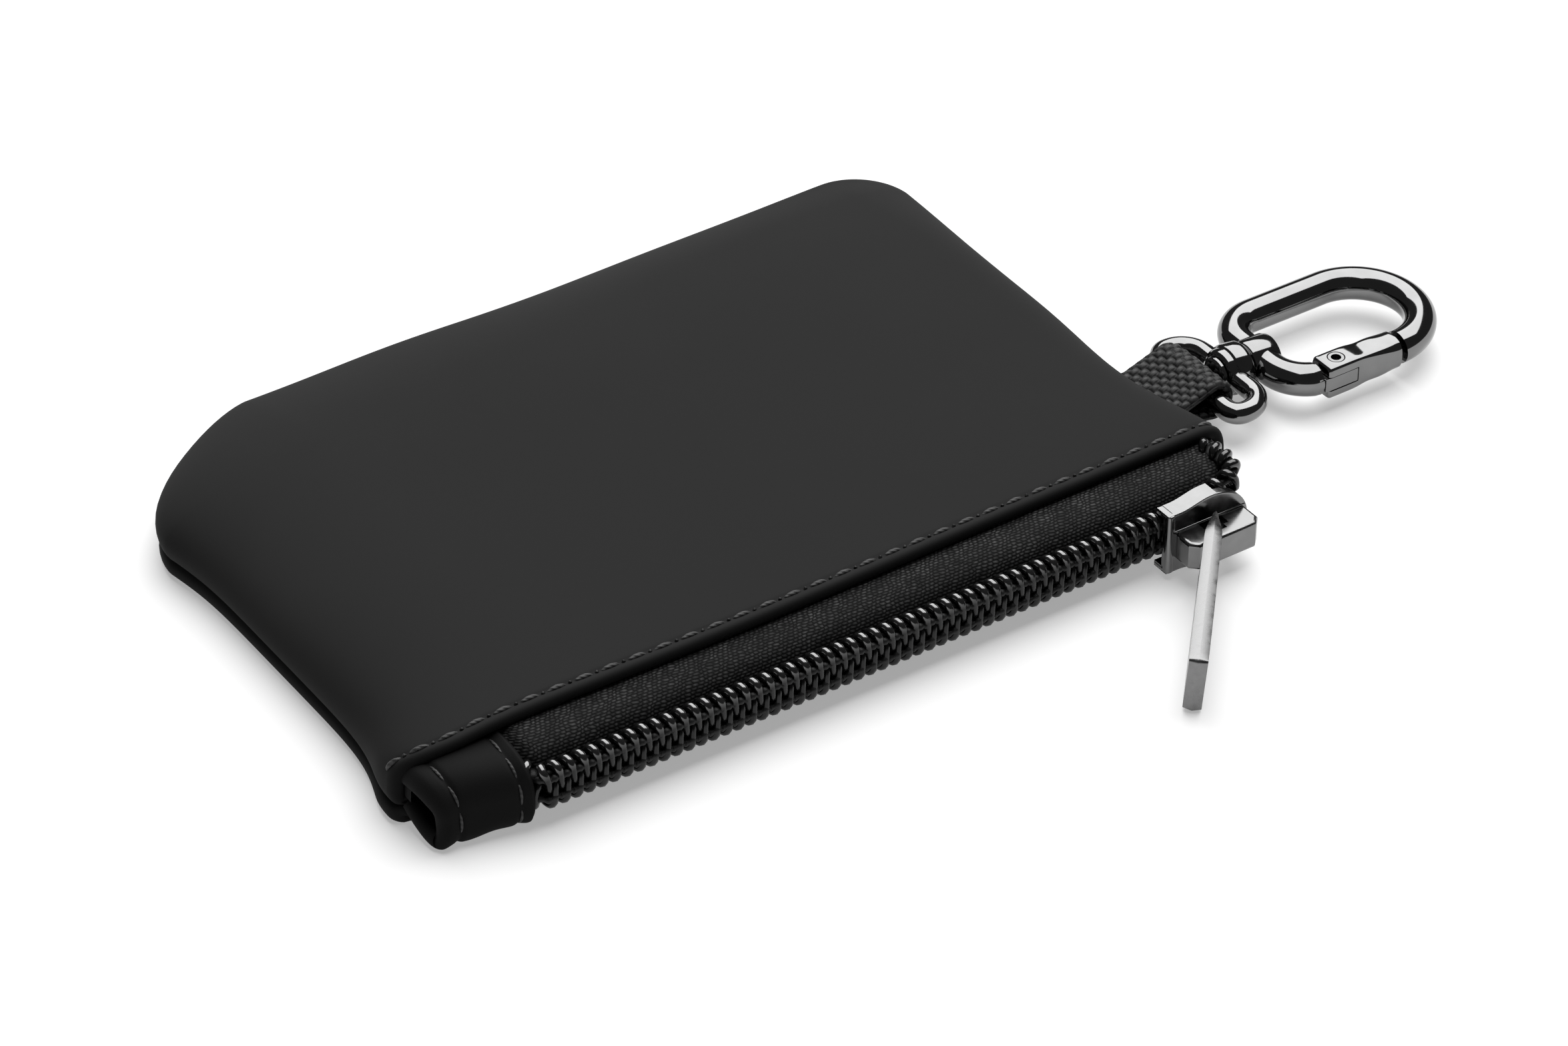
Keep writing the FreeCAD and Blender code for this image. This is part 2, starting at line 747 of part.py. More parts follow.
def tab_wire(inset):
    # Side of the end tab as an open run of lines and arcs, drawn in by inset from its outer face.
    front = tape_face - size("tab_clearance") - size("tab_thickness") + inset
    high = tab_top - inset
    low = size("floor_gap") + inset
    top_round = size("tab_top_round")
    foot_round = size("tab_foot_round")
    outer_front = front - inset
    top_centre = Vector(tab_left, outer_front + top_round, tab_top - top_round)
    foot_centre = Vector(tab_left, outer_front + foot_round, size("floor_gap") + foot_round)
    top_radius = top_round - inset
    foot_radius = foot_round - inset
    diagonal = math.sqrt(0.5)
    start = Vector(tab_left, -half_depth + size("tab_lap"), high)
    top_bend = Vector(tab_left, top_centre.y, high)
    face_top = Vector(tab_left, front, top_centre.z)
    face_foot = Vector(tab_left, front, foot_centre.z)
    foot_bend = Vector(tab_left, foot_centre.y, low)
    finish = Vector(tab_left, foot_centre.y + size("tab_foot_lap"), low)
    return [
        Part.LineSegment(start, top_bend).toShape(),
        Part.Arc(top_bend, top_centre + Vector(0, -top_radius, top_radius) * diagonal, face_top).toShape(),
        Part.LineSegment(face_top, face_foot).toShape(),
        Part.Arc(face_foot, foot_centre + Vector(0, -foot_radius, -foot_radius) * diagonal, foot_bend).toShape(),
        Part.LineSegment(foot_bend, finish).toShape(),
    ]


def ends(edges):
    return edges[0].Vertexes[0].Point, edges[-1].Vertexes[-1].Point


outer_run = tab_wire(0.0)
inner_run = tab_wire(size("tab_thickness"))
outer_start, outer_end = ends(outer_run)
inner_start, inner_end = ends(inner_run)
tab_loop = outer_run + [Part.LineSegment(outer_end, inner_end).toShape()] + inner_run[::-1]
tab_loop.append(Part.LineSegment(inner_start, outer_start).toShape())
tab_face = Part.Face(Part.Wire(Part.__sortEdges__(tab_loop)))
tab_strip = tab_face.extrude(Vector(size("tab_length"), 0, 0))
corner_room = Part.makeBox(
    size("tab_overhang") + size("panel_thickness") + size("hem_shoulder_width"),
    size("tab_lap") + overrun,
    size("hem_height"),
    Vector(tab_left, -half_depth - size("tab_clearance"), 0),
)
shaped("zip_end_tab", tab_strip.cut(corner_room))

# Slider with its bridge, lock and pull

half_rear = "dims.slider_rear_width / 2"
half_front = "dims.slider_front_width / 2"
neck_x = "%s + dims.slider_neck" % slider_rear
flare_x = "%s + dims.slider_flare" % slider_rear
nose_x = "%s + dims.slider_length" % slider_rear
flange_x = "%s + dims.flange_length" % slider_rear


def above(distance):
    return "dims.zip_height + (%s)" % distance


def below(distance):
    return "dims.zip_height - (%s)" % distance


plate_points = [
    (slider_rear, below(half_rear)),
    (neck_x, below(half_rear)),
    (flare_x, below(half_front)),
    (nose_x, below(half_front)),
    (nose_x, above(half_front)),
    (flare_x, above(half_front)),
    (neck_x, above(half_rear)),
    (slider_rear, above(half_rear)),
]


def flange_points(sign):
    return [
        (slider_rear, sign(half_rear)),
        (neck_x, sign(half_rear)),
        (flare_x, sign(half_front)),
        (flange_x, sign(half_front)),
        (flange_x, sign(half_front + " - dims.flange_thickness")),
        (flare_x, sign(half_front + " - dims.flange_thickness")),
        (neck_x, sign(half_rear + " - dims.flange_thickness")),
        (slider_rear, sign(half_rear + " - dims.flange_thickness")),
    ]


def wedge_points():
    stops = (("diamond_tip", "diamond_tip_width"), ("diamond_wide", "diamond_width"),
             ("diamond_front", "diamond_front_width"))
    lower = [("%s + dims.%s" % (slider_rear, place), below("dims.%s / 2" % width)) for place, width in stops]
    upper = [("%s + dims.%s" % (slider_rear, place), above("dims.%s / 2" % width)) for place, width in stops]
    return lower + upper[::-1]


slider_body = new_body("slider_body")
pad(slider_body, "front_plate",
    polygon_sketch(slider_body, "front_plate_outline", "XZ_Plane", "-" + plate_inside, plate_points),
    "dims.slider_plate")
nose_at = value(nose_x)
dress(slider_body, "front_plate_nose", "Fillet",
      lambda edge, middle: same(middle.x, nose_at) and same(edge.Length, size("slider_plate")), "dims.slider_nose_round")
pad(slider_body, "wedge",
    polygon_sketch(slider_body, "wedge_outline", "XZ_Plane", "-" + plate_inside, wedge_points()),
    "%s - %s" % (back_plate_inside, plate_inside), True)
pad(slider_body, "back_plate",
    polygon_sketch(slider_body, "back_plate_outline", "XZ_Plane", "-" + back_plate_inside, plate_points),
    "dims.slider_back_plate", True)
dress(slider_body, "back_plate_nose", "Fillet",
      lambda edge, middle: same(middle.x, nose_at) and same(edge.Length, size("slider_back_plate"))
      and middle.y > zip_line, "dims.slider_nose_round")
flange_depth = "%s - dims.slider_clearance - %s" % (tape_front, plate_inside)
for sign, word in ((above, "upper"), (below, "lower")):
    flange = polygon_sketch(slider_body, word + "_flange_outline", "XZ_Plane", "-" + plate_inside, flange_points(sign))
    pad(slider_body, word + "_flange", flange, flange_depth, True)
claw_x = "(%s + dims.bridge_wall + dims.pawl_clearance)" % bridge_rear
claw_hole = polygon_sketch(
    slider_body, "claw_hole_outline", "XZ_Plane", "-" + plate_outside,
    rectangle("%s - dims.pawl_clearance" % claw_x, "%s + dims.pawl_claw + dims.pawl_clearance" % claw_x,
              below("dims.pawl_width / 2 + dims.pawl_clearance"), above("dims.pawl_width / 2 + dims.pawl_clearance")))
pocket(slider_body, "claw_hole", claw_hole, "dims.slider_plate")

bridge_front = "(%s + dims.bridge_length)" % bridge_rear


def bridge_points(inset):
    # Side of the bridge: sloped at the rear and, longer, at the front.
    low = plate_outside
    high = "%s + %s" % (bridge_top, inset)
    return [
        ("%s + %s" % (bridge_rear, inset), low),
        ("%s + %s" % (bridge_rear, inset), "%s + dims.bridge_rear_slope" % bridge_top),
        ("%s + dims.bridge_rear_slope + %s / 2" % (bridge_rear, inset), high),
        ("%s - dims.bridge_front_slope - %s / 2" % (bridge_front, inset), high),
        ("%s - %s" % (bridge_front, inset), "%s + dims.bridge_front_slope" % bridge_top),
        ("%s - %s" % (bridge_front, inset), low),
    ]


slider_bridge = new_body("slider_bridge")
pad(slider_bridge, "bridge_block",
    polygon_sketch(slider_bridge, "bridge_outline", "XY_Plane", below("dims.bridge_width / 2"), bridge_points("0")),
    "dims.bridge_width")
bridge_roof = value(bridge_top)
dress(slider_bridge, "bridge_rounding", "Fillet",
      lambda edge, middle: middle.y < bridge_roof + size("bridge_front_slope") - near and not same(middle.z, zip_mid),
      "dims.bridge_round")
pocket(slider_bridge, "bridge_hollow",
       polygon_sketch(slider_bridge, "bridge_hollow_outline", "XY_Plane",
                      below("dims.bridge_width / 2 - dims.bridge_wall"), bridge_points("dims.bridge_wall")),
       "dims.bridge_width - 2 * dims.bridge_wall", True)
window_half = "(dims.pull_bar / 2 + dims.pull_window_clearance)"
pocket(slider_bridge, "pull_window",
       polygon_sketch(slider_bridge, "pull_window_outline", "XY_Plane",
                      below("dims.bridge_width / 2 + dims.cut_overrun"),
                      rectangle("%s - %s" % (pivot_x, window_half), "%s + %s" % (pivot_x, window_half),
                                "%s - %s" % (pivot_y, window_half), "%s + %s" % (pivot_y, window_half))),
       "dims.bridge_width + 2 * dims.cut_overrun", True)

lock_pawl = new_body("lock_pawl")
strip_high = "(%s + dims.bridge_wall + dims.pawl_clearance)" % bridge_top
strip_low = "(%s + dims.pawl_thickness)" % strip_high
claw_low = "(%s - dims.pawl_bite_gap)" % plate_inside
strip_end = "%s - dims.bridge_front_slope - dims.bridge_wall" % bridge_front
pad(lock_pawl, "pawl_strip",
    polygon_sketch(lock_pawl, "pawl_outline", "XY_Plane", below("dims.pawl_width / 2"), [
        ("%s + dims.bridge_rear_slope" % claw_x, strip_high),
        (strip_end, strip_high),
        (strip_end, strip_low),
        ("%s + dims.bridge_rear_slope + dims.pawl_claw" % claw_x, strip_low),
        ("%s + dims.pawl_claw" % claw_x, "%s + dims.bridge_rear_slope" % strip_low),
        ("%s + dims.pawl_claw" % claw_x, claw_low),
        (claw_x, claw_low),
        (claw_x, "%s + dims.bridge_rear_slope" % strip_high),
    ]),
    "dims.pawl_width")

pull_tab = new_body("pull_tab")
half_pull = "dims.pull_width / 2"
pad(pull_tab, "pull_plate",
    polygon_sketch(pull_tab, "pull_outline", "YZ_Plane", "-dims.pull_thickness / 2",
                   rectangle("-dims.pull_length", "dims.pull_bar / 2", "-" + half_pull, half_pull)),
    "dims.pull_thickness")
pull_end = -size("pull_length")
dress(pull_tab, "pull_end_corners", "Fillet",
      lambda edge, middle: same(middle.y, pull_end) and same(edge.Length, size("pull_thickness")), "dims.pull_end_round")
dress(pull_tab, "pull_rim", "Chamfer",
      lambda edge, middle: abs(middle.x) > size("pull_thickness") / 2 - near and middle.y < size("pull_bar") / 2 - near,
      "dims.pull_edge_chamfer")
eye_half = "(dims.bridge_width / 2 + dims.pull_eye_clearance)"
pocket(pull_tab, "pull_eye",
       polygon_sketch(pull_tab, "pull_eye_outline", "YZ_Plane", "-dims.pull_thickness / 2 - dims.cut_overrun",
                      rectangle("-dims.pull_eye_length", "-dims.pull_bar / 2", "-" + eye_half, eye_half)),
       "dims.pull_thickness + 2 * dims.cut_overrun", True)
arm_step = "(dims.pull_thickness - dims.pull_arm_thickness) / 2"
for direction, word in ((1, "left"), (-1, "right")):
    face = "%d * dims.pull_arm_thickness / 2" % direction
    thinning = polygon_sketch(
        pull_tab, word + "_arm_outline", "YZ_Plane", face,
        rectangle("-dims.pull_eye_length + dims.pull_bar / 2", "dims.pull_bar / 2 + dims.cut_overrun",
                  "-%s - dims.cut_overrun" % half_pull, "%s + dims.cut_overrun" % half_pull))
    pocket(pull_tab, word + "_arm", thinning, arm_step + " + dims.cut_overrun", direction > 0)
pull_tab.Placement = Placement(Vector(), Rotation(Vector(0, 0, -1), size("pull_angle")))
bind(pull_tab, at(pivot_x, pivot_y, "dims.zip_height"))

# Webbing loop

loop_mid = value(loop_y)
bar_centre = Vector(value(ring_bar_x), loop_mid - size("webbing_width") / 2, size("loop_height"))
strap_mid = size("strap_height")
web = size("webbing_thickness")
inner_radius = size("ring_wire") / 2 + size("ring_bar_clearance")
outer_radius = inner_radius + web


def tangent_spot(corner, radius, side):
    # Where a line from corner just touches the loop's circle, over the bar or under it.
    gap = bar_centre - corner
    reach = math.hypot(gap.x, gap.z)
    lean = math.atan2(gap.z, gap.x) + side * math.asin(radius / reach)
    spot = corner + Vector(math.cos(lean), 0, math.sin(lean)) * math.sqrt(reach ** 2 - radius ** 2)
    return Vector(spot.x, corner.y, spot.z)


def loop_run(low, high, radius):
    low_spot = tangent_spot(low, radius, -1)
    high_spot = tangent_spot(high, radius, 1)
    far = bar_centre + Vector(radius, 0, 0)
    return [
        Part.LineSegment(low, low_spot).toShape(),
        Part.Arc(low_spot, far, high_spot).toShape(),
        Part.LineSegment(high_spot, high).toShape(),
    ]


def strap_spot(x, z):
    return Vector(x, bar_centre.y, z)


strap_in = half_length - size("webbing_tuck")
lead_x = half_length + size("webbing_lead") - web
low_in, high_in = strap_spot(strap_in, strap_mid - web), strap_spot(strap_in, strap_mid + web)
low_lead, high_lead = strap_spot(lead_x, strap_mid - web), strap_spot(lead_x, strap_mid + web)
outside = [Part.LineSegment(low_in, low_lead).toShape()]
outside += loop_run(low_lead, high_lead, outer_radius)
outside.append(Part.LineSegment(high_lead, high_in).toShape())
outside.append(Part.LineSegment(high_in, low_in).toShape())
crotch = strap_spot(half_length + size("webbing_lead") / 2, strap_mid)
webbing_face = Part.Face(Part.Wire(outside)).cut(Part.Face(Part.Wire(loop_run(crotch, crotch, inner_radius))))
shaped("webbing_loop", webbing_face.extrude(Vector(0, size("webbing_width"), 0)))

# Swivel ring: a square wire ring with a turned barrel

ring_radius = "dims.ring_wire / 2"
front_leg_y = "%s - %s" % (loop_y, ring_side)
back_leg_y = "%s + %s" % (loop_y, ring_side)
bar_bend_x = "%s + dims.ring_bar_radius" % ring_bar_x
barrel_bend_x = "%s - dims.ring_corner_radius" % barrel_x
leg_length = "dims.ring_depth - dims.ring_bar_radius - dims.ring_corner_radius"
ring_runs = [
    wire("ring_bar", "y", ring_bar_x, front_leg_y + " + dims.ring_bar_radius", "dims.loop_height", ring_radius,
        "2 * (%s - dims.ring_bar_radius)" % ring_side),
    wire("ring_front_leg", "x", bar_bend_x, front_leg_y, "dims.loop_height", ring_radius, leg_length),
    wire("ring_back_leg", "x", bar_bend_x, back_leg_y, "dims.loop_height", ring_radius, leg_length),
    wire("ring_cross_wire", "y", barrel_x, front_leg_y + " + dims.ring_corner_radius", "dims.loop_height", ring_radius,
        "2 * (%s - dims.ring_corner_radius)" % ring_side),
    bend("ring_bar_front_bend", bar_bend_x, front_leg_y + " + dims.ring_bar_radius", "dims.loop_height",
         "dims.ring_bar_radius", ring_radius, 2, 90),
    bend("ring_bar_back_bend", bar_bend_x, back_leg_y + " - dims.ring_bar_radius", "dims.loop_height",
         "dims.ring_bar_radius", ring_radius, 1, 90),
    bend("ring_front_bend", barrel_bend_x, front_leg_y + " + dims.ring_corner_radius", "dims.loop_height",
         "dims.ring_corner_radius", ring_radius, 3, 90),
    bend("ring_back_bend", barrel_bend_x, back_leg_y + " - dims.ring_corner_radius", "dims.loop_height",
         "dims.ring_corner_radius", ring_radius, 0, 90),
    rod("ring_barrel", "x", "%s - dims.barrel_length / 2" % barrel_x, loop_y, "dims.loop_height",
        "dims.barrel_diameter / 2", "dims.barrel_length"),
    rod("ring_barrel_band", "x", "%s - dims.barrel_band / 2" % barrel_x, loop_y, "dims.loop_height",
        "dims.barrel_diameter / 2 + dims.barrel_band_step", "dims.barrel_band"),
]
barrel_bore = rod("barrel_bore", "x", "%s - dims.barrel_length" % barrel_x, loop_y, "dims.loop_height",
                  "dims.post_diameter / 2 + dims.swivel_clearance", "2 * dims.barrel_length")
named(cut("ring_with_bore", fuse("ring_wire_shape", ring_runs), barrel_bore), "swivel_ring")

swivel_post = new_body("swivel_post")
head_x = "(%s - dims.barrel_length / 2 - dims.swivel_end_play - dims.post_head_thickness)" % barrel_x
shoulder_x = "(%s + dims.post_head_thickness)" % head_x
post_end = "(%s + dims.boss_length - dims.post_head_thickness)" % boss_x
head_radius = "dims.post_head_diameter / 2"
post_radius = "dims.post_diameter / 2"
post_profile = polygon_sketch(swivel_post, "post_outline", "XY_Plane", "dims.loop_height", [
    (head_x, "0"), (post_end, "0"), (post_end, post_radius), (shoulder_x, post_radius),
    (shoulder_x, head_radius), (head_x, head_radius)])
bind(post_profile, {"AttachmentOffset.Base.y": loop_y})
document.recompute()
post_turning = swivel_post.newObject("PartDesign::Revolution", "post_turning")
post_turning.Profile = post_profile
post_turning.ReferenceAxis = (post_profile, ["H_Axis"])
post_turning.Angle = 360
document.recompute()

# Hook: an oval of round wire on a boss, with a tongue for the gate

wire_radius = "dims.hook_wire / 2"
corner_x = "%s + dims.hook_corner_radius" % hook_side_x
hook_runs = [
    rod("hook_boss", "x", boss_x, loop_y, "dims.loop_height", "dims.boss_diameter / 2", "dims.boss_length"),
    wire("hook_side", "y", hook_side_x, gate_y + " + dims.hook_corner_radius", "dims.loop_height", wire_radius,
        "dims.hook_width - 2 * dims.hook_corner_radius"),
    bend("hook_back_bend", corner_x, back_strand_y + " - dims.hook_corner_radius", "dims.loop_height",
         "dims.hook_corner_radius", wire_radius, 1, 90),
    wire("hook_back_strand", "x", corner_x, back_strand_y, "dims.loop_height", wire_radius,
        "dims.hook_length - dims.hook_corner_radius"),
    bend("hook_nose", hook_end_x, loop_y, "dims.loop_height", "dims.hook_width / 2", wire_radius, 3, 180),
]
arm_trim = box(
    "arm_trim", "%s - dims.gate_gap" % gate_x, "%s - dims.hook_wire" % gate_y, "dims.loop_height - dims.hook_wire",
    "dims.hook_wire * 2", "dims.hook_wire * 2", "dims.hook_wire * 2")
front_bend = bend("hook_front_bend", corner_x, gate_y + " + dims.hook_corner_radius", "dims.loop_height",
                  "dims.hook_corner_radius", wire_radius, 2, 90)
hook_runs.append(cut("hook_arm", front_bend, arm_trim))
tongue_low = "dims.loop_height - dims.tongue_thickness / 2"
hook_runs.append(box(
    "tongue_neck", "%s - dims.gate_gap - dims.hook_wire / 4" % gate_x, "%s - dims.tongue_radius" % gate_y, tongue_low,
    "dims.gate_pivot + dims.gate_gap + dims.hook_wire / 4", "2 * dims.tongue_radius", "dims.tongue_thickness"))
hook_runs.append(rod("tongue_end", "z", pin_x, gate_y, tongue_low, "dims.tongue_radius", "dims.tongue_thickness"))
pin_hole = rod("pin_hole", "z", pin_x, gate_y, "dims.loop_height - dims.gate_height",
               "dims.gate_pin_diameter / 2", "2 * dims.gate_height")
post_hole = rod("post_hole", "x", head_x, loop_y, "dims.loop_height", post_radius, "%s - %s" % (post_end, head_x))
hook_solid = fuse("hook_solid", hook_runs)
named(cut("hook_with_holes", cut("hook_with_pin_hole", hook_solid, pin_hole), post_hole), "hook_body")

pin_bottom = "dims.loop_height - dims.gate_height / 2"
pin_rod = rod("gate_pin_rod", "z", pin_x, gate_y, pin_bottom, "dims.gate_pin_diameter / 2", "dims.gate_height")
pin_bore = rod("gate_pin_bore", "z", pin_x, gate_y, "%s - dims.cut_overrun" % pin_bottom,
               "dims.gate_pin_bore / 2", "dims.gate_height + 2 * dims.cut_overrun")
named(cut("gate_pin_tube", pin_rod, pin_bore), "gate_pin")

gate = new_body("gate")
gate_low = "%s - dims.gate_width / 2" % gate_y
gate_high = "%s + dims.gate_width / 2" % gate_y
pad(gate, "gate_bar",
    polygon_sketch(gate, "gate_outline", "XY_Plane", pin_bottom, rectangle(gate_x, gate_end_x, gate_low, gate_high)),
    "dims.gate_height")
heel_x, heel_y = value(gate_x), value(gate_high)
dress(gate, "gate_heel", "Fillet",
      lambda edge, middle: upright(edge) and same(middle.x, heel_x) and same(middle.y, heel_y), "dims.gate_heel_round")
dress(gate, "gate_rounding", "Chamfer",
      lambda edge, middle: edge.Length > size("gate_width") * 2, "dims.gate_round")
slot_half = "dims.tongue_thickness / 2 + dims.tongue_clearance"
slot_end = "%s + dims.tongue_radius + dims.gate_spring_thickness + 2 * dims.gate_spring_gap" % pin_x
pocket(gate, "gate_fork",
       polygon_sketch(gate, "gate_fork_outline", "XZ_Plane", "-(%s + dims.cut_overrun)" % gate_high,
                      rectangle("%s - dims.cut_overrun" % gate_x, slot_end,
                                "dims.loop_height - (%s)" % slot_half, "dims.loop_height + %s" % slot_half)),
       "dims.gate_width + 2 * dims.cut_overrun", True)
pocket(gate, "gate_pin_hole",
       circle_sketch(gate, "gate_pin_hole_outline", "XY_Plane", "%s - dims.cut_overrun" % pin_bottom, pin_x, gate_y,
                     "dims.gate_pin_diameter / 2 + dims.gate_pin_clearance"),
       "dims.gate_height + 2 * dims.cut_overrun", True)

named(box("gate_spring_leaf", "%s + dims.tongue_radius + dims.gate_spring_gap" % pin_x,
          "%s - dims.tongue_radius" % gate_y, tongue_low, "dims.gate_spring_thickness", "2 * dims.tongue_radius",
          "dims.tongue_thickness"), "gate_spring")

# Every finished piece, checked and written out under its own name

node_names = [
    "top_panel", "bottom_panel", "top_lining", "bottom_lining", "upper_zip_tape", "lower_zip_tape",
    "upper_coil", "lower_coil", "upper_core_cord", "lower_core_cord", "zip_end_tab", "webbing_loop",
    "slider_body", "slider_bridge", "lock_pawl", "pull_tab", "swivel_ring", "swivel_post", "hook_body",
    "gate_pin", "gate", "gate_spring",
]
document.recompute()
for thing in document.Objects:
    if "Invalid" in thing.State or "Error" in thing.State:
        raise RuntimeError("%s failed: %s" % (thing.Label, thing.State))
os.makedirs("parts", exist_ok=True)
for node in node_names:
    shape = document.getObjectsByLabel(node)[0].Shape
    if shape.isNull() or not shape.isValid() or shape.Volume <= 0:
        raise RuntimeError("%s is not a valid solid" % node)
    shape.exportStep("parts/%s.step" % node)
    print("%s: %d solid, %.1f cubic mm" % (node, len(shape.Solids), shape.Volume))
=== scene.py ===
import math

import bmesh
import bpy
import numpy as np
from mathutils import Matrix


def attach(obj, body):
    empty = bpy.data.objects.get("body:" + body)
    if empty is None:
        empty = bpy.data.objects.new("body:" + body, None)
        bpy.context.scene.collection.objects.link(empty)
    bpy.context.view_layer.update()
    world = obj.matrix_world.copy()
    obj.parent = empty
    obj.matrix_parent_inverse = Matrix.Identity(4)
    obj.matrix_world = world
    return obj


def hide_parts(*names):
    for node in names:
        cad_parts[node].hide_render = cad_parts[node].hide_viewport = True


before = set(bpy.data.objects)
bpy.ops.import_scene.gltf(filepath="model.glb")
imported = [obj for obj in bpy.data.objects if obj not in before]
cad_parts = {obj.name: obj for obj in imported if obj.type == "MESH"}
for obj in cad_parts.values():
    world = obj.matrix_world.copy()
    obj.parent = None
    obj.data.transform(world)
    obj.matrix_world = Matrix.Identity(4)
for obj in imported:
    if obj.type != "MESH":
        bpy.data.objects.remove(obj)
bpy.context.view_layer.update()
scene = bpy.context.scene
mm = 0.001  # lengths below are in millimetres, meshes are in metres
seamWeld = 0.01  # points of one surface that lie nearer than this become one
print("frame loaded:", len(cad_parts), "nodes")


# meshes from arrays

def gridFaces(rows, columns, wrapRows=False, wrapColumns=False):
    # quads between neighbouring rows and columns of a grid of points
    a, b = np.meshgrid(np.arange(rows if wrapRows else rows - 1),
                       np.arange(columns if wrapColumns else columns - 1), indexing="ij")
    c, d = (a + 1) % rows, (b + 1) % columns
    return np.stack([a * columns + b, a * columns + d, c * columns + d, c * columns + b], -1).reshape(-1, 4)


def cappedFaces(rows, columns):
    # quads of a grid that wraps round, closed by one face at each end
    ends = [list(range(columns)), list(range((rows - 1) * columns, rows * columns))]
    return gridFaces(rows, columns, False, True).tolist() + ends


def joined(*parts):
    # several (points, faces) as one; a face is a list of point numbers
    points, faces, start = [], [], 0
    for partPoints, partFaces in parts:
        flatPoints = np.asarray(partPoints, float).reshape(-1, 3)
        points.append(flatPoints)
        faces += [[start + int(k) for k in face] for face in partFaces]
        start += len(flatPoints)
    return np.concatenate(points), faces


def sewn(*patches):
    # grids of points as one surface
    return joined(*[(patch, gridFaces(*patch.shape[:2])) for patch in patches])


def outwardMesh(name, part, uv=None, weld=0.0):
    # mesh with its doubles merged and its faces turned outwards
    points, faces = part
    mesh = bpy.data.meshes.new(name)
    places = np.asarray(points).reshape(-1, 3) * mm
    mesh.from_pydata(places.tolist(), [], [list(map(int, face)) for face in faces])
    if uv is not None:
        layer = mesh.uv_layers.new(name="flat")
        corner = np.zeros(len(mesh.loops), np.int32)
        mesh.loops.foreach_get("vertex_index", corner)
        layer.data.foreach_set("uv", np.asarray(uv, float).reshape(-1, 2)[corner].ravel())
    work = bmesh.new()
    work.from_mesh(mesh)
    if weld:
        bmesh.ops.remove_doubles(work, verts=work.verts, dist=weld * mm)
    bmesh.ops.recalc_face_normals(work, faces=work.faces)
    work.to_mesh(mesh)
    work.free()
    return mesh


def makePiece(name, part, material, body, nodes=(), uv=None, weld=0.0, sharp=None):
    # a finished piece at the origin, riding on a body
    mesh = outwardMesh(name, part, uv, weld)
    mesh.shade_smooth()
    if sharp:
        mesh.set_sharp_from_angle(angle=math.radians(sharp))
    piece = bpy.data.objects.new(name, mesh)
    scene.collection.objects.link(piece)
    mesh.materials.append(material)
    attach(piece, body)
    if nodes:
        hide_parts(*nodes)
    return piece


def carve(piece, sharp, **shapes):
    # cut plain shapes out of a piece, keep only the result and crease its edges
    cutters = []
    for name, part in shapes.items():
        cutter = bpy.data.objects.new(name, outwardMesh(name, part))
        scene.collection.objects.link(cutter)
        cutters.append(cutter)
        tool = piece.modifiers.new("cut", "BOOLEAN")
        tool.operation = "DIFFERENCE"
        tool.solver = "EXACT"
        tool.object = cutter
    result = bpy.data.meshes.new_from_object(piece.evaluated_get(bpy.context.evaluated_depsgraph_get()))
    piece.modifiers.clear()
    result.name = piece.data.name + "Cut"
    piece.data = result
    for cutter in cutters:
        bpy.data.objects.remove(cutter)
    result.set_sharp_from_angle(angle=math.radians(sharp))


def unit(vectors):
    return vectors / np.maximum(np.linalg.norm(vectors, axis=-1, keepdims=True), 1e-12)


def travelAlong(path):
    # distance from the start of a path to each of its points
    return np.concatenate([[0], np.cumsum(np.linalg.norm(np.diff(path, axis=0), axis=1))])


def pointsAt(spots, travel, path):
    # points of a path at the given distances from its start
    return np.stack([np.interp(spots, travel, column) for column in path.T], -1)


def smoothStep(low, high, x):
    t = np.clip((x - low) / (high - low), 0, 1)
    return t * t * (3 - 2 * t)


def bell(x, middle, reach):
    # one at the middle, fading to nothing within a few reaches
    return np.exp(-((x - middle) / reach) ** 2)


def arcSteps(centre, radius, start, stop, steps):
    angle = np.radians(np.linspace(start, stop, steps))
    return np.stack([centre[0] + radius * np.cos(angle), centre[1] + radius * np.sin(angle)], -1)


def bezier(points, steps):
    # cubic curve through the first and last of four points
    t = np.linspace(0, 1, steps)[:, None]
    a, b, c, d = np.asarray(points, float)
    return a * (1 - t) ** 3 + 3 * b * t * (1 - t) ** 2 + 3 * c * t ** 2 * (1 - t) + d * t ** 3


def roundedBox(low, high, radius, steps=7):
    # outline of a rectangle with rounded corners
    (x0, y0), (x1, y1) = low, high
    return np.concatenate([arcSteps((x1 - radius, y1 - radius), radius, 0, 90, steps),
                           arcSteps((x0 + radius, y1 - radius), radius, 90, 180, steps),
                           arcSteps((x0 + radius, y0 + radius), radius, 180, 270, steps),
                           arcSteps((x1 - radius, y0 + radius), radius, 270, 360, steps)])


def tube(path, radius, sides=20, lead=(0, 0, 1)):
    # a circle of the radius carried along the path; lead is the direction its first point faces
    path = np.asarray(path, float)
    heading = unit(np.gradient(path, axis=0))
    lead = np.broadcast_to(np.asarray(lead, float), path.shape)
    first = unit(lead - (lead * heading).sum(-1, keepdims=True) * heading)
    second = np.cross(heading, first)
    turn = np.linspace(0, 2 * np.pi, sides, endpoint=False)
    reach = np.broadcast_to(np.asarray(radius, float), (len(path),))[:, None, None]
    ring = first[:, None] * np.cos(turn)[None, :, None] + second[:, None] * np.sin(turn)[None, :, None]
    return (path[:, None] + ring * reach).reshape(-1, 3), cappedFaces(len(path), sides)


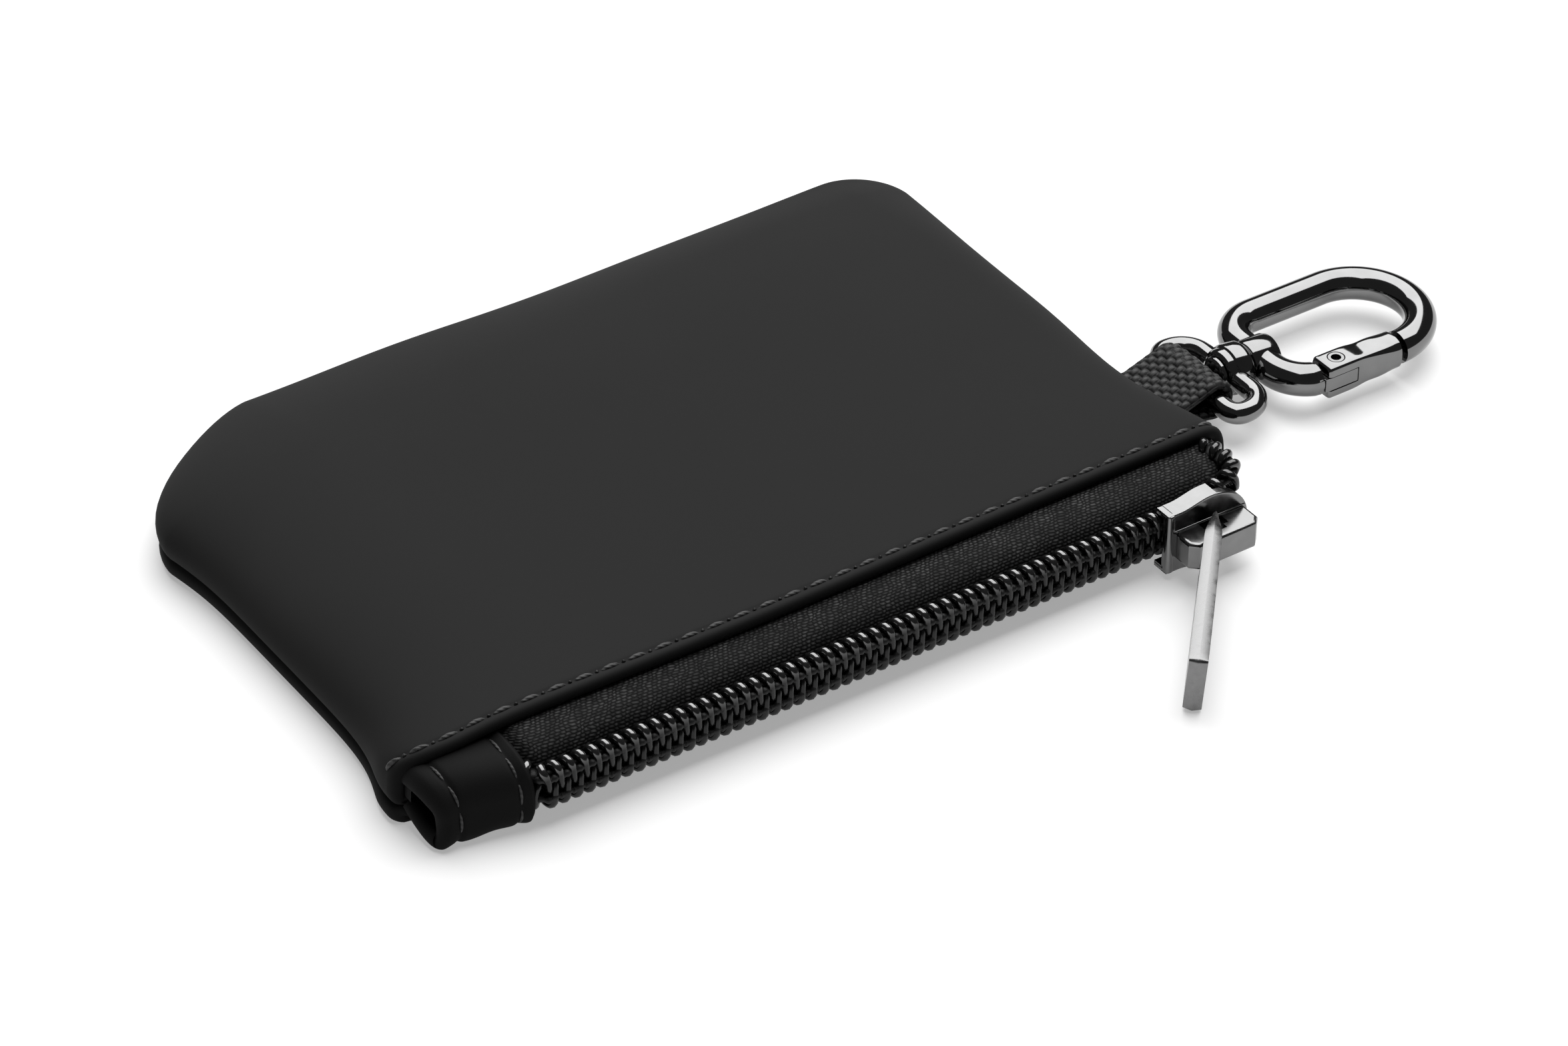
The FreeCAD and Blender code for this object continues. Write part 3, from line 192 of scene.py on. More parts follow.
def turned(profile, origin, sides=48, bored=False):
    # a profile of (distance along X, radius) spun once round the X axis through origin; a bored one closes on
    # itself round an open hole
    profile = np.asarray(profile, float)
    turn = np.linspace(0, 2 * np.pi, sides, endpoint=False)
    along = np.repeat(profile[:, :1], sides, 1)
    points = np.stack([along, profile[:, 1:] * np.cos(turn), profile[:, 1:] * np.sin(turn)], -1)
    faces = gridFaces(len(profile), sides, True, True) if bored else cappedFaces(len(profile), sides)
    return (points + np.asarray(origin, float)).reshape(-1, 3), faces


def asDrawn(u, v, w):
    return u, v, w


def layFlat(u, v, w):
    return u, w, v


def rimmed(outline, rows, place):
    # a closed outline repeated at each row's depth, drawn in by that row's inset, and closed at both ends;
    # place(u, v, w) gives the three coordinates
    outline = np.asarray(outline, float)
    before, after = unit(outline - np.roll(outline, 1, 0)), unit(np.roll(outline, -1, 0) - outline)
    outward = np.stack([before[:, 1] + after[:, 1], -before[:, 0] - after[:, 0]], -1)
    outward = outward / np.maximum(1 + (before * after).sum(-1, keepdims=True), 0.3)
    (x, y), (nextX, nextY) = outline.T, np.roll(outline, -1, 0).T
    area = 0.5 * np.sum(x * nextY - nextX * y)
    outward = outward if area > 0 else -outward
    depths, insets = np.array(rows).T
    flat = outline[None] - outward[None] * insets[:, None, None]
    points = place(flat[..., 0], flat[..., 1], np.repeat(depths[:, None], len(outline), 1))
    return np.stack(points, -1).reshape(-1, 3), cappedFaces(len(rows), len(outline))


def prism(outline, low, high, bevel, place, steps=4, pad=0.04):
    # a closed outline pushed from low to high with rounded rims. A narrow row beside each rim keeps the flat
    # faces flat where they are shaded smooth
    angle = np.linspace(0, np.pi / 2, steps)
    inset = np.concatenate([[bevel + pad], bevel * (1 - np.sin(angle)), [0.0]])
    depth = np.concatenate([[0.0], bevel * (1 - np.cos(angle)), [bevel + pad]])
    rows = [(low + d, i) for d, i in zip(depth, inset)]
    return rimmed(outline, rows + [(high - d, i) for d, i in zip(depth[::-1], inset[::-1])], place)


# finishes

def grey(level):
    return (level, level, level, 1)


def newFinish(name):
    material = bpy.data.materials.new(name)
    material.use_nodes = True
    nodes, links = material.node_tree.nodes, material.node_tree.links
    return material, nodes, links, nodes["Principled BSDF"]


def objectNoise(nodes, links, scale, detail=3.0, stretch=(1, 1, 1)):
    place = nodes.new("ShaderNodeTexCoord")
    mapping = nodes.new("ShaderNodeMapping")
    mapping.inputs["Scale"].default_value = stretch
    noise = nodes.new("ShaderNodeTexNoise")
    noise.inputs["Scale"].default_value = scale
    noise.inputs["Detail"].default_value = detail
    links.new(place.outputs["Object"], mapping.inputs["Vector"])
    links.new(mapping.outputs["Vector"], noise.inputs["Vector"])
    return noise.outputs["Fac"]


def uvSplit(nodes, links):
    # the piece's two texture coordinates, as X and Y
    place = nodes.new("ShaderNodeTexCoord")
    split = nodes.new("ShaderNodeSeparateXYZ")
    links.new(place.outputs["UV"], split.inputs["Vector"])
    return split.outputs


def combine(nodes, links, kind, *given):
    # a math node fed with numbers or sockets
    node = nodes.new("ShaderNodeMath")
    node.operation = kind
    for socket, source in zip(node.inputs, given):
        if isinstance(source, (int, float)):
            socket.default_value = source
        else:
            links.new(source, socket)
    return node.outputs[0]


def ramp(nodes, links, source, stops, target):
    # stops of (place, grey level) from a source socket to a target socket
    node = nodes.new("ShaderNodeValToRGB")
    elements = node.color_ramp.elements
    while len(elements) < len(stops):
        elements.new(0.5)
    for element, (place, level) in zip(elements, stops):
        element.position = place
        element.color = grey(level)
    links.new(source, node.inputs["Fac"])
    links.new(node.outputs["Color"], target)


def bump(nodes, links, shader, source, strength, distance):
    node = nodes.new("ShaderNodeBump")
    node.inputs["Strength"].default_value = strength
    node.inputs["Distance"].default_value = distance * mm
    links.new(source, node.inputs["Height"])
    links.new(node.outputs["Normal"], shader.inputs["Normal"])


def softTouch(name, level, rough):
    # coated cloth: matt black with a very fine grain and faint rubbed patches; painted shade makes it darker
    # where the first texture coordinate marks the turned hem
    material, nodes, links, shader = newFinish(name)
    patches = objectNoise(nodes, links, 55.0, 4.0)
    paintedHemShade = nodes.new("ShaderNodeMix")
    paintedHemShade.data_type = "RGBA"
    # painted shade: the turned hem is painted at a quarter of the cloth's level
    paintedHemShade.inputs["B"].default_value = grey(level * 0.25)
    links.new(uvSplit(nodes, links)["X"], paintedHemShade.inputs["Factor"])
    ramp(nodes, links, patches, [(0.3, level * 0.88), (0.7, level * 1.12)], paintedHemShade.inputs["A"])
    links.new(paintedHemShade.outputs["Result"], shader.inputs["Base Color"])
    ramp(nodes, links, patches, [(0.3, rough - 0.04), (0.7, rough + 0.04)], shader.inputs["Roughness"])
    shader.inputs["Specular IOR Level"].default_value = 0.12
    bump(nodes, links, shader, objectNoise(nodes, links, 5200.0, 2.0), 0.25, 0.03)
    return material


def thread(name, level):
    # twisted yarn: fine ridges that run round the strand
    material, nodes, links, shader = newFinish(name)
    place = nodes.new("ShaderNodeTexCoord")
    wave = nodes.new("ShaderNodeTexWave")
    wave.wave_type = "BANDS"
    wave.bands_direction = "DIAGONAL"
    wave.inputs["Scale"].default_value = 900.0
    wave.inputs["Distortion"].default_value = 1.5
    links.new(place.outputs["Object"], wave.inputs["Vector"])
    twist = wave.outputs["Fac"]
    ramp(nodes, links, twist, [(0.0, level * 0.5), (1.0, level * 1.3)], shader.inputs["Base Color"])
    shader.inputs["Roughness"].default_value = 0.62
    bump(nodes, links, shader, twist, 0.5, 0.08)
    return material


# the shade entries paint shade on the tape, darker towards the coil
twill = {"long": 0.62, "wide": 0.36, "shift": 0.36, "swayLong": 1.1, "swayWide": 0.45, "chance": 0.55,
         "patch": 0.9, "shadeFrom": 3.5, "shadeTo": 7.0, "shadeLevel": 0.5}  # the tape darkens towards the coil


def twillTape(name):
    # twill: rows of short yarn floats, each row shifted on from the last, no two floats quite alike
    material, nodes, links, shader = newFinish(name)
    t = twill

    def calc(kind, *given):
        return combine(nodes, links, kind, *given)

    place = uvSplit(nodes, links)
    sway = objectNoise(nodes, links, 700.0, 2.0)
    along = calc("ADD", place["X"], calc("MULTIPLY", sway, t["swayLong"]))
    across = calc("ADD", place["Y"], calc("MULTIPLY", sway, t["swayWide"]))
    row = calc("DIVIDE", across, t["wide"])
    rowNumber = calc("FLOOR", row)
    run = calc("ADD", calc("DIVIDE", along, t["long"]), calc("MULTIPLY", rowNumber, t["shift"]))
    wide, long = [calc("SINE", calc("MULTIPLY", calc("FRACT", part), math.pi)) for part in (row, run)]
    spot = nodes.new("ShaderNodeCombineXYZ")
    links.new(calc("FLOOR", run), spot.inputs["X"])
    links.new(rowNumber, spot.inputs["Y"])
    chance = nodes.new("ShaderNodeTexWhiteNoise")
    chance.noise_dimensions = "2D"
    links.new(spot.outputs["Vector"], chance.inputs["Vector"])
    height = calc("MULTIPLY", wide, long)
    patch = calc("MULTIPLY", objectNoise(nodes, links, 420.0, 3.0), t["patch"])
    uneven = calc("ADD", calc("MULTIPLY", chance.outputs["Value"], t["chance"]), patch)
    # painted shade: the tone falls across the tape towards the coil
    coilShade = nodes.new("ShaderNodeMapRange")
    for socket, given in zip(("From Min", "From Max", "To Min", "To Max"),
                             (t["shadeFrom"], t["shadeTo"], 1.0, t["shadeLevel"])):
        coilShade.inputs[socket].default_value = given
    links.new(across, coilShade.inputs["Value"])
    ramp(nodes, links, calc("MULTIPLY", calc("MULTIPLY", height, uneven), coilShade.outputs["Result"]),
         [(0.04, 0.002), (0.3, 0.024), (0.8, 0.095)], shader.inputs["Base Color"])
    shader.inputs["Roughness"].default_value = 0.75
    shader.inputs["Specular IOR Level"].default_value = 0.15
    bump(nodes, links, shader, height, 0.8, 0.1)
    return material


def moulded(name, level, rough):
    # drawn nylon filament, smoother and glossier where the second texture coordinate is near one; the coil
    # lays that coat where the light falls, for brighter glints
    material, nodes, links, shader = newFinish(name)
    links.new(uvSplit(nodes, links)["Y"], shader.inputs["Coat Weight"])
    shader.inputs["Coat IOR"].default_value = 2.0
    shader.inputs["Coat Roughness"].default_value = 0.14
    noise = objectNoise(nodes, links, 900.0, 2.0)
    ramp(nodes, links, noise, [(0.3, level * 0.8), (0.7, level * 1.2)], shader.inputs["Base Color"])
    shader.inputs["Roughness"].default_value = rough
    shader.inputs["Specular IOR Level"].default_value = 0.3
    bump(nodes, links, shader, noise, 0.12, 0.05)
    return material


def webYarn(name, dark, pale):
    # coarse black yarn with fine filaments; a painted highlight makes it paler where the first texture
    # coordinate marks it raised, and the gaps between stay dark as painted shade
    material, nodes, links, shader = newFinish(name)
    fibre = objectNoise(nodes, links, 1500.0, 3.0, (1, 4, 1))
    # painted highlight and shade: the hump height from the first texture coordinate lifts the fibre tone on
    # the humps
    raised = combine(nodes, links, "MULTIPLY", fibre, uvSplit(nodes, links)["X"])
    ramp(nodes, links, raised, [(0.1, dark), (0.55, pale)], shader.inputs["Base Color"])
    shader.inputs["Roughness"].default_value = 0.55
    shader.inputs["Specular IOR Level"].default_value = 0.3
    bump(nodes, links, shader, fibre, 0.5, 0.06)
    return material


def plated(name, level, rough, wear, mottle):
    # plated metal: an even tone with faint handling marks in the gloss
    material, nodes, links, shader = newFinish(name)
    shader.inputs["Metallic"].default_value = 1.0
    marks = objectNoise(nodes, links, mottle, 5.0)
    tones = [(0.3, level * (1 - wear)), (0.7, level * (1 + wear))]
    ramp(nodes, links, marks, tones, shader.inputs["Base Color"])
    ramp(nodes, links, marks, [(0.35, rough * 0.8), (0.75, rough * 1.25)], shader.inputs["Roughness"])
    bump(nodes, links, shader, marks, 0.04, 0.02)
    return material


panelSkin = softTouch("softTouchSkin", 0.016, 0.8)
# the tab uses the panel's cloth painted darker, a painted shade on its front-facing side
shadedTabSkin = softTouch("shadedTabSkin", 0.006, 0.75)
liningCloth = softTouch("liningCloth", 0.015, 0.8)
stitchThread = thread("stitchThread", 0.04)
# painted shade: a near-black strand after each stitch stands for the shade in its needle hole
paintedHoleShade = thread("paintedHoleShade", 0.004)
tapeCloth = twillTape("twillTape")
coilNylon = moulded("coilNylon", 0.006, 0.22)
loopYarn = webYarn("loopYarn", 0.0015, 0.05)
seamYarn = webYarn("seamYarn", 0.004, 0.012)
nickel = plated("nickelPlate", 0.18, 0.22, 0.06, 700.0)
pullSteel = plated("satinPull", 0.19, 0.3, 0.1, 1100.0)
gunMetal = plated("gunMetal", 0.175, 0.08, 0.06, 400.0)
springSteel = plated("springSteel", 0.5, 0.3, 0.05, 600.0)
print("finishes ready")


# pouch panels

pouch = {
    "halfLength": 52.0, "halfDepth": 35.0,
    "tabCorner": 19.0, "clipCorner": 7.5, "tabFlat": 1.4,  # back corners, and how straight the left is cut
    "tabOut": 1.8, "tabOutY": 22.0, "tabOutReach": 9.0, "tabOutX": (30.0, 46.0),  # bulge by the left one
    "equator": 4.1, "groove": 2.35, "grooveInset": 0.9, "seamIn": 1.4,  # widest line, and the seam below it
    "upperFlare": 2.2, "lowerFlare": 2.5, "flareReach": 9.0,  # the left seam spreads towards the hem
    "hemTop": 10.6, "bellyTop": 11.2, "riseOver": 40.0,  # levels of the hem and the middle
    "backDrop": 4.3, "dropFrom": 5.0, "dropOver": 30.0,  # fall to the back edge
    "clipDrop": 3.0, "thinFrom": 15.0, "thinOver": 37.0, "thinReach": 12.0,  # the thinner right side
    "clipLift": 0.8, "liftReach": 15.0,  # the raised back corner
    "hemRadius": 0.75, "foldIn": 4.0, "stitchLine": 0.6, "stitchDip": 0.22, "dipReach": 0.3,
    "ripple": 0.12, "rippleX": 15.0, "rippleY": 13.0,
    "wave": 0.35, "waveLong": 6.3, "rock": 0.45, "rockLong": 7.7,  # the free edge waves in plan and height
    "freeFrom": (70.0, 110.0), "freeTo": (15.0, 40.0),  # where it is free, from its start and to its end
    "clipPinch": 2.2, "pinchY": -24.0, "pinchReach": 24.0,  # the waist by the webbing
    "hemBow": 0.6, "bowX": -12.0, "bowLong": 26.0, "bowDeep": 12.0,  # the hem swings forward
    "hemBack": 2.2, "backFrom": -46.5, "backOver": 7.0,  # and turns back at its left end
    "boxy": 2.0, "boxyLeft": 1.1, "boxyRight": 2.2, "boxyReach": 9.0,  # how square the sides are near the hem
    "trayIn": 1.5, "trayOut": 1.3, "trayGap": 0.05, "table": 0.02,  # the lower panel's rim and its place
    "liningGap": 1.3, "floorGap": 1.6, "floorLevel": 1.1,
}


def panelHeight(x, y):
    # highest level of the upper panel before its edges roll down: a sine rise from the hem, a square fall
    # to the back and to the right, and a dip along the stitches
    p = pouch
    fromHem = y + p["halfDepth"]
    rise = np.sin(np.clip(fromHem / p["riseOver"], 0, 1) * np.pi / 2)
    fall = np.clip((y - p["dropFrom"]) / p["dropOver"], 0, None) ** 2
    ripple = p["ripple"] * np.sin(x / p["rippleX"] + 0.6) * np.sin(y / p["rippleY"] + 1.1)
    height = p["hemTop"] + (p["bellyTop"] - p["hemTop"]) * rise - p["backDrop"] * fall + ripple * rise
    thin = np.clip((x - p["thinFrom"]) / p["thinOver"], 0, None) ** 2 * (1 - bell(fromHem, 0, p["thinReach"]))
    return height - p["clipDrop"] * thin - p["stitchDip"] * bell(fromHem, p["stitchLine"], p["dipReach"])


def cornerLift(x, y):
    # the back corner next to the clip stands a little off the table
    p = pouch
    gap = (x - p["halfLength"]) ** 2 + (y - p["halfDepth"]) ** 2
    return p["clipLift"] * np.exp(-gap / (2 * p["liftReach"] ** 2))


def squareness(x, y):
    # how boxy the side shoulders are: square at the hem, most of all at its right end, round further back
    p = pouch
    extra = np.where(x < 0, p["boxyLeft"], p["boxyRight"])
    return p["boxy"] + extra * np.exp(-(y + p["halfDepth"]) / p["boxyReach"])


def bowed(points):
    # the hem swings a little forward left of its middle and turns back at its left end
    p = pouch
    x, fromHem = points[..., 0], points[..., 1] + p["halfDepth"]
    turnBack = np.clip((p["backFrom"] - x) / p["backOver"], 0, 1.2) ** 2 * bell(fromHem, 0, p["backOver"])
    swing = bell(x, p["bowX"], p["bowLong"]) * bell(fromHem, 0, p["bowDeep"])
    points[..., 1] += p["hemBack"] * turnBack - p["hemBow"] * swing
    return points


def pinched(y):
    # how far the right side is drawn in beside the webbing
    return pouch["clipPinch"] * bell(y, pouch["pinchY"], pouch["pinchReach"])


def shoulder(share, power):
    # rise of the side over its inward share, along a superellipse
    return (1 - (1 - np.clip(share, 0, 1)) ** power) ** (1 / power)


hemShare = 4.0 / 53  # rows lie closer together beside the hem
rowShares = np.concatenate([np.linspace(0, hemShare, 18)[:-1], np.linspace(hemShare, 1, 46)])
backSteps, arcCount, shoulderSteps = 76, 22, 22


def backLine():
    # places along the back edge, and how far back the flat middle reaches at each
    p = pouch
    x = np.linspace(p["tabCorner"] - p["halfLength"], p["halfLength"] - p["clipCorner"], backSteps)
    share = (x - x[0]) / (x[-1] - x[0])
    return x, p["halfDepth"] - p["tabCorner"] + (p["tabCorner"] - p["clipCorner"]) * share


def panelOutline(inset=0.0, flare=0.0):
    # U-shaped edge from the hem's left end round the back to its right end, with outward directions and
    # the point of the flat middle that each edge point looks at
    p = pouch
    left, right, back = -p["halfLength"], p["halfLength"], p["halfDepth"]
    front = -back
    tabR, clipR = p["tabCorner"], p["clipCorner"]
    leftY = front + (back - tabR - front) * rowShares
    rightY = front + (back - clipR - front) * rowShares
    backX, coreBack = backLine()
    turn = np.linspace(0, np.pi / 2, arcCount)[1:-1]
    tabArc = np.stack([left + tabR - tabR * np.cos(turn) ** p["tabFlat"],
                       back - tabR + tabR * np.sin(turn) ** p["tabFlat"]], -1)
    clipArc = arcSteps((right - clipR, back - clipR), clipR, 90, 0, arcCount)[1:-1]
    edge = np.concatenate([
        np.stack([np.full_like(leftY, left), leftY], -1), tabArc,
        np.stack([backX, np.full_like(backX, back)], -1), clipArc,
        np.stack([np.full_like(rightY, right), rightY], -1)[::-1]])
    core = np.concatenate([
        np.stack([np.full_like(leftY, left + tabR), leftY], -1),
        np.repeat([[left + tabR, back - tabR]], len(tabArc), 0),
        np.stack([backX, coreBack], -1),
        np.repeat([[right - clipR, back - clipR]], len(clipArc), 0),
        np.stack([np.full_like(rightY, right - clipR), rightY], -1)[::-1]])
    side = np.gradient(edge, axis=0)
    outward = unit(np.stack([-side[:, 1], side[:, 0]], -1))
    travel = travelAlong(edge)
    toEnd = travel[-1] - travel
    free = smoothStep(*p["freeFrom"], travel) * smoothStep(*p["freeTo"], toEnd)
    edge = edge + outward * (p["wave"] * np.sin(travel / p["waveLong"]) * free - inset)[:, None]
    edge[-len(rightY):, 0] -= pinched(rightY[::-1])
    bulge = bell(edge[:, 1], p["tabOutY"], p["tabOutReach"]) * smoothStep(*p["tabOutX"], -edge[:, 0])
    edge[:, 0] -= p["tabOut"] * bulge
    edge[:len(leftY), 0] -= flare * bell(leftY, front, p["flareReach"])
    return edge, core, outward, p["rock"] * np.sin(travel / p["rockLong"] + 0.9) * free


def panelGrid(inset=0.0):
    # (ring, middle): the ring runs over the shoulder from the edge to the flat middle
    p = pouch
    edge, core, outward, lift = panelOutline(inset, p["upperFlare"])
    share = 1 - np.cos(np.linspace(0, np.pi / 2, shoulderSteps))[None, :]
    plan = edge[:, None] + (core - edge)[:, None] * share[..., None]
    x, y = plan[..., 0], plan[..., 1]
    equator = p["equator"] + lift[:, None] - inset * 0.3
    z = equator + (panelHeight(x, y) - inset - equator) * shoulder(share, squareness(x, y)) + cornerLift(x, y)
    ring = np.stack([x, y, z], -1)
    midX, coreBack = backLine()
    midY = -p["halfDepth"] + (coreBack + p["halfDepth"])[None, :] * rowShares[:, None]
    midX = np.repeat(midX[None, :], len(rowShares), 0)
    middle = np.stack([midX, midY, panelHeight(midX, midY) - inset + cornerLift(midX, midY)], -1)
    return ring, middle, edge, outward, lift


def underRoll(edge, outward, lift):
    # from the widest line the panel curls down and in to the seam groove
    p = pouch
    angle = np.concatenate([np.linspace(0, np.pi / 2, 9)[1:], [np.pi / 2]])
    inset = p["grooveInset"] * (1 - np.cos(angle))
    inset[-1] = p["grooveInset"] + p["seamIn"]
    plan = edge[:, None] - outward[:, None] * inset[None, :, None]
    level = p["equator"] + lift[:, None]
    drop = (p["equator"] - p["groove"]) * np.sin(angle)[None, :]
    calmed = lift[:, None] * (np.sin(angle) ** 2)[None, :] * 0.5
    z = level - drop - calmed + cornerLift(plan[..., 0], plan[..., 1])
    return np.concatenate([plan, z[..., None]], -1)


def hemFold(section):
    # the cut end of the panel turned under: half a circle round the edge, then a short way back inside
    radius = pouch["hemRadius"]
    flatSide = np.gradient(section[:, [0, 2]], axis=0)
    normal = unit(np.stack([-flatSide[:, 1], np.zeros(len(section)), flatSide[:, 0]], -1))
    angle = np.linspace(0, np.pi, 12)
    fold = section[:, None] - normal[:, None] * (radius * (1 - np.cos(angle)))[None, :, None]
    fold[..., 1] -= (radius * np.sin(angle))[None, :]
    inside = fold[:, -1:] + np.array([0, pouch["foldIn"], 0])
    return np.concatenate([fold, inside], 1)


def upperPanel():
    # shoulder, flat middle and turned hem; the first texture coordinate marks the hem for the cloth's painted
    # shade
    ring, middle, edge, outward, lift = panelGrid()
    band = np.concatenate([underRoll(edge, outward, lift)[:, ::-1], ring], 1)
    fold = hemFold(np.concatenate([band[0], middle[0, 1:-1], band[-1][::-1]]))
    shade = np.concatenate([np.zeros(band[..., 0].size + middle[..., 0].size),
                            np.tile(smoothStep(0, 0.4, np.linspace(0, 1, fold.shape[1])), len(fold))])
    return sewn(*map(bowed, (band, middle, fold))), np.stack([shade, np.zeros_like(shade)], -1)


def lowerPanel():
    # a shallow tray whose edge bulges out below the groove
    p = pouch
    edge, core, outward, lift = panelOutline(0.0, p["lowerFlare"])
    angle = np.linspace(0, np.pi, 15)
    half = p["groove"] / 2 - p["trayGap"]
    inset = np.concatenate([[p["grooveInset"] + p["seamIn"]], p["trayIn"] - p["trayOut"] * np.sin(angle)])
    level = np.concatenate([[2 * half], half + half * np.cos(angle)])
    rim = edge[:, None] - outward[:, None] * inset[None, :, None]
    rim = np.concatenate([rim, np.broadcast_to(level[None, :, None], rim.shape[:2] + (1,))], -1)
    floorEdge = np.concatenate([core, np.zeros((len(core), 1))], -1)[:, None]
    band = np.concatenate([rim, rim[:, -1:] * 0.5 + floorEdge * 0.5, floorEdge], 1)
    middle = panelGrid()[1] * (1, 1, 0)
    for patch in (band, middle):
        patch[..., 2] += cornerLift(patch[..., 0], patch[..., 1]) + p["table"]
    fold = hemFold(np.concatenate([band[0], middle[0, 1:-1], band[-1][::-1]])[::-1])
    return sewn(*map(bowed, (band, middle, fold)))


def lining(inset, level=None):
    # the upper panel's form drawn in by the inset; a level makes it a flat floor
    patches = panelGrid(inset)[:2]
    if level is not None:
        for patch in patches:
            patch[..., 2] = level + cornerLift(patch[..., 0], patch[..., 1])
    return sewn(*patches)


topPart, topUv = upperPanel()
makePiece("upperPanel", topPart, panelSkin, "pouch", ["top_panel"], uv=topUv, weld=seamWeld)
makePiece("lowerPanel", lowerPanel(), panelSkin, "pouch", ["bottom_panel"], weld=seamWeld)
makePiece("upperLining", lining(pouch["liningGap"]), liningCloth, "pouch",
          ["top_lining"], weld=seamWeld)
makePiece("lowerLining", lining(pouch["floorGap"], pouch["floorLevel"]), liningCloth, "pouch",
          ["bottom_lining"], weld=seamWeld)
print("panels made")


# hem stitches

stitch = {"pitch": 3.2, "length": 2.2, "radius": 0.28, "firstX": -54.0, "lastX": 49.2, "lead": 0.3,
          # the hole entries set that dark strand after each stitch, a painted shade for the needle hole
          "hole": 0.5, "holeRadius": 0.2, "holeGap": 0.55,  # needle hole after each stitch
          "arch": 0.95, "sunk": 0.42, "slim": 0.55}  # in radii: arch height, end depth, end thickness


def stitchRow(path, normals, pitch, length, radius, lead=stitch["lead"], steps=9, sides=8):
    # short strands laid end to end along a path, each arched out of the cloth and dipping in at its ends
    s = stitch
    travel = travelAlong(path)
    starts = np.arange(lead, travel[-1] - length, pitch)
    share = np.linspace(0, 1, steps)
    spots = starts[:, None] + length * share[None, :]
    normal = unit(pointsAt(spots, travel, normals))
    arch = radius * (s["arch"] * np.sin(np.pi * share) ** 0.5 - s["sunk"])
    centre = pointsAt(spots, travel, path) + normal * arch[None, :, None]
    turn = np.linspace(0, 2 * np.pi, sides, endpoint=False)
    across = np.cross(unit(np.gradient(centre, axis=1)), normal)
    thick = radius * (s["slim"] + (1 - s["slim"]) * np.sin(np.pi * share))
    ring = (normal[:, :, None] * np.cos(turn)[None, None, :, None]
            + across[:, :, None] * np.sin(turn)[None, None, :, None]) * thick[None, :, None, None]
    strand = cappedFaces(steps, sides)
    faces = [[k + n * steps * sides for k in face] for n in range(len(starts)) for face in strand]
    return (centre[:, :, None] + ring).reshape(-1, 3), faces


def hemStitchPath():
    # line just behind the hem's edge that follows the panel's level down over both shoulders
    p = pouch
    x = np.linspace(stitch["firstX"], stitch["lastX"], 400)
    y = np.full_like(x, -p["halfDepth"] + p["stitchLine"])
    power = squareness(x, y)
    drawnIn = pinched(y)
    fromLeft = (x + p["halfLength"] + p["upperFlare"]) / (p["tabCorner"] + p["upperFlare"])
    fromRight = (p["halfLength"] - drawnIn - x) / (p["clipCorner"] - drawnIn)
    rise = np.minimum(shoulder(fromLeft, power), shoulder(fromRight, power))
    z = p["equator"] + (panelHeight(x, y) - p["equator"]) * rise
    normal = unit(np.stack([-np.gradient(z, x), np.zeros_like(x), np.ones_like(x)], -1))
    return bowed(np.stack([x, y, z], -1)), normal


hemLine = hemStitchPath()
makePiece("hemStitches", stitchRow(*hemLine, stitch["pitch"], stitch["length"], stitch["radius"]),
          stitchThread, "pouch")
makePiece("needleHoleShade", stitchRow(*hemLine, stitch["pitch"], stitch["hole"], stitch["holeRadius"],
                                   stitch["length"] + stitch["holeGap"]), paintedHoleShade, "pouch")
print("hem stitched")


# zip tapes

zipRun = {"midY": -41.6, "midZ": 4.9, "left": -44.5, "right": 48.0, "tapeThick": 0.4, "tapeGap": 0.5,
          "upperTape": [(-31.5, 8.95), (-38.2, 9.35), (-40.5, 8.7)], "tapeEndY": -40.3,
          "lowerTape": [(-31.5, 1.75), (-38.6, 1.2), (-40.5, 1.4)],
          "tuckFrom": -41.1, "tuckTo": -43.2, "tuckBack": 2.2, "tuckDown": 1.0}  # the end under the tab
zipSides = ((1, "upper"), (-1, "lower"))


def tuck(x):
    # share by which the zip's left end is drawn back under the tab
    return smoothStep(-zipRun["tuckFrom"], -zipRun["tuckTo"], -x)


def tapeStrip(side, word):
    # cloth band from under the hem, over a soft bend and down behind the coil
    r = zipRun
    section = bezier(r[word + "Tape"] + [(r["tapeEndY"], r["midZ"] + side * r["tapeGap"])], 48)
    x = np.linspace(r["left"], r["right"], 140)
    points = np.zeros((len(x), len(section), 3))
    points[..., 0] = x[:, None]
    points[..., 1] = section[None, :, 0] + r["tuckBack"] * tuck(x)[:, None]
    points[..., 2] = section[None, :, 1] - side * r["tuckDown"] * tuck(x)[:, None]
    return sewn(points), np.stack(np.broadcast_arrays(x[:, None], travelAlong(section)[None, :]), -1)


for side, word in zipSides:
    part, uv = tapeStrip(side, word)
    band = makePiece(word + "Tape", part, tapeCloth, "pouch", [word + "_zip_tape"], uv=uv)
    wall = band.modifiers.new("wall", "SOLIDIFY")
    wall.thickness = zipRun["tapeThick"] * mm
    wall.offset = -side
print("tapes laid")


# zip coils

coil = {"pitch": 1.5, "head": 0.34, "bend": 0.5, "high": 1.5, "deep": 0.76, "offset": 0.85, "oval": 0.8,
        "spread": 2.0, "spreadFrom": 39.8, "spreadOver": 7.4, "start": -43.4, "straightEnd": 45.6,
        "curl": [(0, 0, 0), (1.4, 0.1, 0.3), (2.1, 1.8, 0.6), (1.0, 5.4, 0.7)],  # from the straight end
        "dull": 0.6, "dullOver": 1.5, "steps": 20, "sides": 10,
        "coreHigh": 0.4, "coreDeep": 0.38, "coreOut": 0.55, "coreSides": 12,
        "seam": 0.42, "seamAt": 1.2, "seamLead": 0.4, "seamOver": 2.0, "seamStep": 0.1, "seamOut": 0.02,
        "seamDip": 0.08, "seamSway": 0.1, "seamKnot": 0.18}


